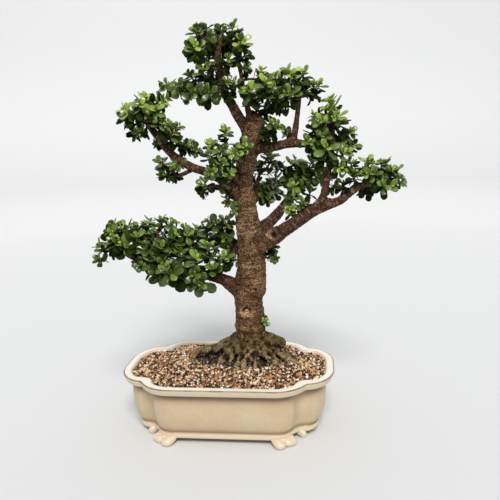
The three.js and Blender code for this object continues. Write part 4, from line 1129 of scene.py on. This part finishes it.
def leaf_shape(number, bend):
    """A leaf of unit length along +Y, upper face up: a thick blade, domed above, on a narrow base."""
    around = [(-1.0, 0.0), (-0.55, 0.85), (0.55, 0.85), (1.0, 0.0), (0.55, -0.7), (-0.55, -0.7)]
    vertices, blade = [], []
    for y, half_width, thickness in LEAF_STATIONS + [LEAF_TIP]:
        for across, up in around:
            cup = 0.10 * (across * half_width / 0.42) ** 2
            vertices.append((across * half_width, y, up * thickness + bend * (y ** 2) + cup))
            blade.append((across * half_width, y, 1.0 if up > 0 else 0.0 if up < 0 else 0.5))
    count = len(around)
    rows = len(vertices) // count
    faces = [(r * count + s, (r + 1) * count + s,
              (r + 1) * count + (s + 1) % count, r * count + (s + 1) % count)
             for r in range(rows - 1) for s in range(count)]
    faces += [tuple(range(count)), tuple((rows - 1) * count + s for s in reversed(range(count)))]
    shape = mesh_object(f"leaf_shape_{number}", np.array(vertices) / MM, faces)
    mark(shape.data, "blade", "FLOAT_VECTOR", blade)
    shape.hide_render = True
    return shape


def leaf_recipe(shapes):
    """One leaf on each point, of the point's own shape, turn and size."""
    inputs = {f"Leaf {i}": "NodeSocketObject" for i in range(len(shapes))}
    recipe = Recipe("leaves on their stems", inputs | {"Material": "NodeSocketMaterial"})
    kinds = recipe.tree.nodes.new("GeometryNodeGeometryToInstance")
    for i in reversed(range(len(shapes))):
        leaf = recipe.input(f"Leaf {i}")
        shape = recipe.node("GeometryNodeObjectInfo", None, {"Object": leaf}, "Geometry")
        recipe.tree.links.new(shape, kinds.inputs[0])
    turn = recipe.node("FunctionNodeEulerToRotation", None, {0: recipe.named("turn", "FLOAT_VECTOR")})
    leaves = recipe.node("GeometryNodeInstanceOnPoints", None, {
        "Points": recipe.start.outputs[0], "Instance": kinds.outputs[0], "Pick Instance": True,
        "Instance Index": recipe.named("shape", "INT"), "Rotation": turn,
        "Scale": recipe.named("size", "FLOAT")})
    recipe.finish(leaves)
    return recipe


def stem_recipe():
    """A round stem along each line of a mesh, with the thickness that its points say."""
    recipe = Recipe("soft stems", {"Sides": "NodeSocketInt", "Material": "NodeSocketMaterial"})
    lines = recipe.node("GeometryNodeMeshToCurve", None, {"Mesh": recipe.start.outputs[0]})
    ring = recipe.node("GeometryNodeCurvePrimitiveCircle", None,
                       {"Resolution": recipe.input("Sides"), "Radius": 1.0})
    tubes = recipe.node("GeometryNodeCurveToMesh", None, {
        "Curve": lines, "Profile Curve": ring, "Scale": recipe.named("girth", "FLOAT"), "Fill Caps": True})
    recipe.finish(tubes)
    return recipe


def jade_leaf():
    finish = Finish("jade leaf", Specular_IOR_Level=0.06, Coat_Roughness=0.27, Coat_IOR=1.55)
    age = finish.attribute("age")
    hue = finish.attribute("hue")
    shade = finish.attribute("shade")
    blade = finish.attribute("blade", "Vector")
    across, along, side = (finish.axis(number, blade) for number in range(3))
    tint = finish.ramp(age + (hue - 0.5) * 0.25, [
        (0.0, (0.44, 0.55, 0.085)), (0.22, (0.275, 0.385, 0.058)), (0.5, (0.128, 0.195, 0.030)),
        (1.0, (0.036, 0.062, 0.007))])
    # Undersides are painted darker: painted shade on the side turned from the light.
    tint = finish.mix((1 - side) * 0.3, tint, (0.035, 0.055, 0.010))
    rim = across.math("ABSOLUTE", across).between(0.28, 0.44) + along.between(0.86, 1.0)
    tint = finish.mix(rim * 0.2, tint, (0.22, 0.25, 0.06))
    mottle = finish.noise(240.0, 3.0)
    tint = finish.mix(mottle.between(0.5, 0.75) * 0.15, tint, (0.15, 0.20, 0.03))
    tint = finish.mix(shade * 0.9, tint, (0.008, 0.015, 0.0012))
    lit = 1 - shade
    return finish.done(Base_Color=tint, Roughness=0.40 + 0.18 * mottle, Coat_Weight=lit * lit,
                       Normal=finish.bump(mottle, 0.0004, 0.35))


def young_stem():
    finish = Finish("young stem", Specular_IOR_Level=0.4)
    girth = finish.attribute("girth")
    tint = finish.ramp(girth.between(0.0006, 0.0019), [
        (0.0, (0.13, 0.19, 0.03)), (0.45, (0.10, 0.055, 0.022)), (1.0, (0.045, 0.020, 0.014))])
    speck = finish.noise(600.0, 3.0)
    tint = finish.mix(speck.between(0.55, 0.7) * 0.4, tint, (0.16, 0.09, 0.05))
    return finish.done(Base_Color=tint, Roughness=0.5 + 0.2 * speck, Normal=finish.bump(speck, 0.0004, 0.5))


def unit(vector):
    return vector / max(np.linalg.norm(vector), 1e-9)


def grow_shoot(line, girths, reach, tone, facing, chance):
    """The leaves of one shoot, in crossed pairs from its tip back.

    Each leaf is its place, its turn, its size, its age, its hue and the number of its shape.
    """
    leaves = []
    along, across = tangents_and_sides(line)
    lengths = run_along(line)
    turn = chance.uniform(0, math.pi)
    for pair, (length, back, lift, years) in enumerate(LEAF_PAIRS):
        if back * reach > lengths[-1] * 0.94:
            break
        at = int(np.searchsorted(lengths, lengths[-1] - back * reach).clip(0, len(line) - 1))
        other = np.cross(along[at], across[at])
        for half in (0, math.pi):
            if pair > 2 and chance.uniform() < FALLEN_SHARE:
                continue
            spin = turn + half + chance.normal() * 0.18
            rise = math.radians(lift) + chance.normal() * 0.17
            away = across[at] * math.cos(spin) + other * math.sin(spin)
            axis = unit(away * math.cos(rise) + along[at] * math.sin(rise) - UP * 0.07 * pair)
            normal = along[at] * math.cos(rise) - away * math.sin(rise) + UP * 0.35 + facing * 0.14
            normal = unit(normal - axis * (normal @ axis))
            turned = Matrix(np.column_stack([np.cross(axis, normal), axis, normal]).tolist()).to_euler()
            age = np.clip(years + tone + chance.normal() * 0.07, 0, 1)
            leaves.append((line[at] + away * girths[at] * 0.6, tuple(turned),
                           reach * length * chance.uniform(0.88, 1.14), age, chance.uniform(),
                           int(chance.integers(len(LEAF_BENDS)))))
        turn += math.pi / 2 + chance.normal() * 0.12
    return leaves


def shaded(leaves):
    """How deep each leaf is under the others, 0 for the outermost and 1 for those well inside a pad."""
    middles = np.array([leaf[0] for leaf in leaves])
    gap = middles[None] - middles[:, None]
    ahead = gap @ unit(TO_THE_SKY)
    beside = np.sqrt(np.maximum((gap ** 2).sum(axis=2) - ahead ** 2, 0))
    over = ((ahead > SHADE_NEAR) & (ahead < SHADE_FAR) & (beside < SHADE_WIDTH)).sum(axis=1)
    return np.clip(over / FULL_SHADE, 0, 1)


def grow_pad(shoots, seed, leaf_share=1.0, tone_shift=0.0, upright=0.0):
    """Where each leaf of a pad sits, and the lines of its stems."""
    chance = np.random.default_rng(seed)
    leaves, stems, grown = [], [], []
    left = [(np.array(shoot[:3], float), float(shoot[3])) for shoot in shoots]
    lowest, highest = min(shoot[2] for shoot in shoots), max(shoot[2] for shoot in shoots)
    while left:
        # The next shoot is the one nearest to the wood or to a shoot that has grown already.
        best = None
        for i, (centre, reach) in enumerate(left):
            gaps = np.linalg.norm(wood_line - centre, axis=1) - wood_girth
            at = int(gaps.argmin())
            options = [(gaps[at], wood_line[at] + unit(centre - wood_line[at]) * wood_girth[at] * 0.5)]
            options += [(np.linalg.norm(base - centre) + 3, base) for base in grown]
            choice = min(options, key=lambda option: option[0])
            if best is None or choice[0] < best[0]:
                best = (choice[0], i, choice[1])
        _, i, origin = best
        centre, reach = left.pop(i)
        outward = unit(centre - origin)
        rise = (centre[2] - lowest) / (highest - lowest + 20)
        facing = TO_THE_FRONT * (1.1 - rise) if centre[1] < LAST_FACING_FRONT else TO_THE_BACK
        tone = tone_shift + 0.28 - 0.38 * rise + chance.uniform(-0.14, 0.14)
        size = LEAF_REACH * leaf_share * (0.74 * reach + 2.9)
        for side in (0, 1):
            drift = chance.normal(size=3) * (0.22 if side == 0 else 0.75)
            lean = outward * 0.6 + UP * (0.3 + 0.6 * rise + upright) + facing * (0.7 - 0.5 * upright)
            heading = unit(lean + drift)
            middle = centre - heading * reach * (0.1 + 0.5 * upright)
            if side > 0:
                middle = centre + unit(drift + outward * 0.3) * reach * chance.uniform(0.25, 0.5)
            base = middle - heading * reach * 0.5
            tip = middle + heading * reach * 0.35
            source = origin if side == 0 else grown[-1]
            if side == 0:
                grown.append(base)
            bend = (source + base) / 2 + chance.normal(size=3) * 1.2 + outward
            line, girths = curve_through([source, bend, base, middle, tip], STEM_RADII, STEM_STEP)
            stems.append((line, girths))
            shown = size if side == 0 else size * chance.uniform(0.7, 0.95)
            shoot_tone = tone + chance.uniform(-0.1, 0.15) * side
            leaves += grow_shoot(line, girths, shown, shoot_tone, facing, chance)
    return leaves, stems


wood_count = 1 + len(BRANCHES)
wood_line = np.vstack([line for line, _ in limbs[:wood_count]])
wood_girth = np.concatenate([radii for _, radii in limbs[:wood_count]])
leaf_shapes = [leaf_shape(i, bend) for i, bend in enumerate(LEAF_BENDS)]
leaf_inputs = {f"Leaf {i}": shape for i, shape in enumerate(leaf_shapes)}
leaves_on_stems = leaf_recipe(leaf_shapes)
soft_stems = stem_recipe()
leaf_finish = jade_leaf()
stem_finish = young_stem()
for number, (pad, shoots) in enumerate(PADS.items()):
    leaves, stems = grow_pad(shoots, PAD_SEED + number, *PAD_HABITS.get(pad, ()))
    node = pad if pad == "basal_sprout" else "foliage_" + pad
    cloud = bpy.data.meshes.new(pad + "_points")
    cloud.from_pydata([tuple(leaf[0] * MM) for leaf in leaves], [], [])
    leaves = [(*leaf, depth) for leaf, depth in zip(leaves, shaded(leaves))]
    for name, kind, column in (("turn", "FLOAT_VECTOR", 1), ("age", "FLOAT", 3), ("hue", "FLOAT", 4),
                               ("shape", "INT", 5), ("shade", "FLOAT", 6)):
        mark(cloud, name, kind, [leaf[column] for leaf in leaves])
    mark(cloud, "size", "FLOAT", np.array([leaf[2] for leaf in leaves], np.float32) * np.float32(MM))
    source = add_object(pad + "_points", cloud)
    leafage = leaves_on_stems.run(source, pad + "_leaves", leaf_inputs | {"Material": leaf_finish})
    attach(leafage, "root")
    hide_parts(node)

    lines = bpy.data.meshes.new(pad + "_lines")
    starts = np.cumsum([0] + [len(line) for line, _ in stems])
    edges = [(int(start) + k, int(start) + k + 1) for start, (line, _) in zip(starts, stems)
             for k in range(len(line) - 1)]
    lines.from_pydata([tuple(p * MM) for line, _ in stems for p in line], edges, [])
    radii = np.concatenate([girths for _, girths in stems]).astype(np.float32)
    mark(lines, "girth", "FLOAT", radii * np.float32(MM))
    source = add_object(pad + "_lines", lines)
    stalks = soft_stems.run(source, pad + "_stems", {"Sides": STEM_SIDES, "Material": stem_finish})
    stalks.data.shade_smooth()
    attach(stalks, "root")
for shape in leaf_shapes:
    bpy.data.objects.remove(shape)


# ---------------------------------------------------------------- floor, light and camera
#
# A plain pale floor that curves up into a wall, under a pale even sky. One broad soft light shines from
# high at the front, and the camera stands a little above the pot and to the tree's right.

CAMERA_PLACE = (0.1034, -0.860, 0.4164)
CAMERA_TURN, CAMERA_DIP, CAMERA_ROLL = (math.radians(a) for a in (-6.54, 10.61, -1.64))
FOCAL_PIXELS, FRAME_PIXELS = 600, 500
FILM_WIDTH = 36.0
LIT_HEIGHT = 1.3
FLAT_RADIUS, BEND_RADIUS, WALL_HEIGHT = 2.0, 1.2, 1.8
FLOOR_SIDES = 96
SKY_COLOUR, SKY_STRENGTH = (0.90, 0.93, 0.95, 1.0), 0.66
WINDOW_DIRECTION, WINDOW_STRENGTH, WINDOW_WIDTH = (0.18, -0.90, 1.0), 2.6, math.radians(20)

# The floor's section from its flat part up the bend, as (radius, height) in metres.
sweep = [(FLAT_RADIUS, 0.0)]
for a in np.linspace(0.1, math.pi / 2, 12):
    sweep.append((FLAT_RADIUS + BEND_RADIUS * math.sin(a), BEND_RADIUS - BEND_RADIUS * math.cos(a)))
sweep.append((FLAT_RADIUS + BEND_RADIUS, WALL_HEIGHT))
turns = np.linspace(0, 2 * math.pi, FLOOR_SIDES, endpoint=False)
floor_vertices = [(0, 0, 0)] + [(r * math.cos(a), r * math.sin(a), z) for r, z in sweep for a in turns]
floor_faces = [(0, 1 + i, 1 + (i + 1) % FLOOR_SIDES) for i in range(FLOOR_SIDES)]
floor_faces += ring_faces(len(sweep), FLOOR_SIDES, first=1)
floor = mesh_object("floor", np.array(floor_vertices) / MM, floor_faces)
floor_finish = Finish("pale floor", Roughness=0.8)
# The floor is painted darker up its bend and low wall: painted shade to even out the stronger light falling
# there.
floor_tint = floor_finish.ramp(floor_finish.axis(2) / LIT_HEIGHT, [
    (0.0, (0.69, 0.685, 0.68)), (0.03, (0.66, 0.655, 0.65)), (0.14, (0.58, 0.577, 0.574)),
    (0.38, (0.62, 0.617, 0.614)), (0.70, (0.65, 0.647, 0.644)), (1.0, (0.71, 0.706, 0.702))])
floor.data.materials.append(floor_finish.done(Base_Color=floor_tint))
floor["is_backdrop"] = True

world = bpy.data.worlds.new("pale sky")
bpy.context.scene.world = world
world.use_nodes = True
world.node_tree.nodes["Background"].inputs["Color"].default_value = SKY_COLOUR
world.node_tree.nodes["Background"].inputs["Strength"].default_value = SKY_STRENGTH

window_light = bpy.data.lights.new("window", "SUN")
window_light.energy = WINDOW_STRENGTH
window_light.angle = WINDOW_WIDTH
window = add_object("window", window_light)
window.rotation_euler = Vector(WINDOW_DIRECTION).to_track_quat("Z", "Y").to_euler()

camera_data = bpy.data.cameras.new("camera")
camera_data.sensor_width = FILM_WIDTH
camera_data.lens = camera_data.sensor_width * FOCAL_PIXELS / FRAME_PIXELS
camera = add_object("camera", camera_data)
forward = Vector((math.sin(CAMERA_TURN) * math.cos(CAMERA_DIP),
                  math.cos(CAMERA_TURN) * math.cos(CAMERA_DIP), -math.sin(CAMERA_DIP)))
level = Vector((math.cos(CAMERA_TURN), -math.sin(CAMERA_TURN), 0))
above = level.cross(forward)
right = level * math.cos(CAMERA_ROLL) + above * math.sin(CAMERA_ROLL)
upward = above * math.cos(CAMERA_ROLL) - level * math.sin(CAMERA_ROLL)
facing = Matrix((right, upward, -forward)).transposed().to_4x4()
camera.matrix_world = Matrix.Translation(CAMERA_PLACE) @ facing
bpy.context.scene.camera = camera
bpy.context.scene.view_settings.view_transform = "Standard"

low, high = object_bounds()
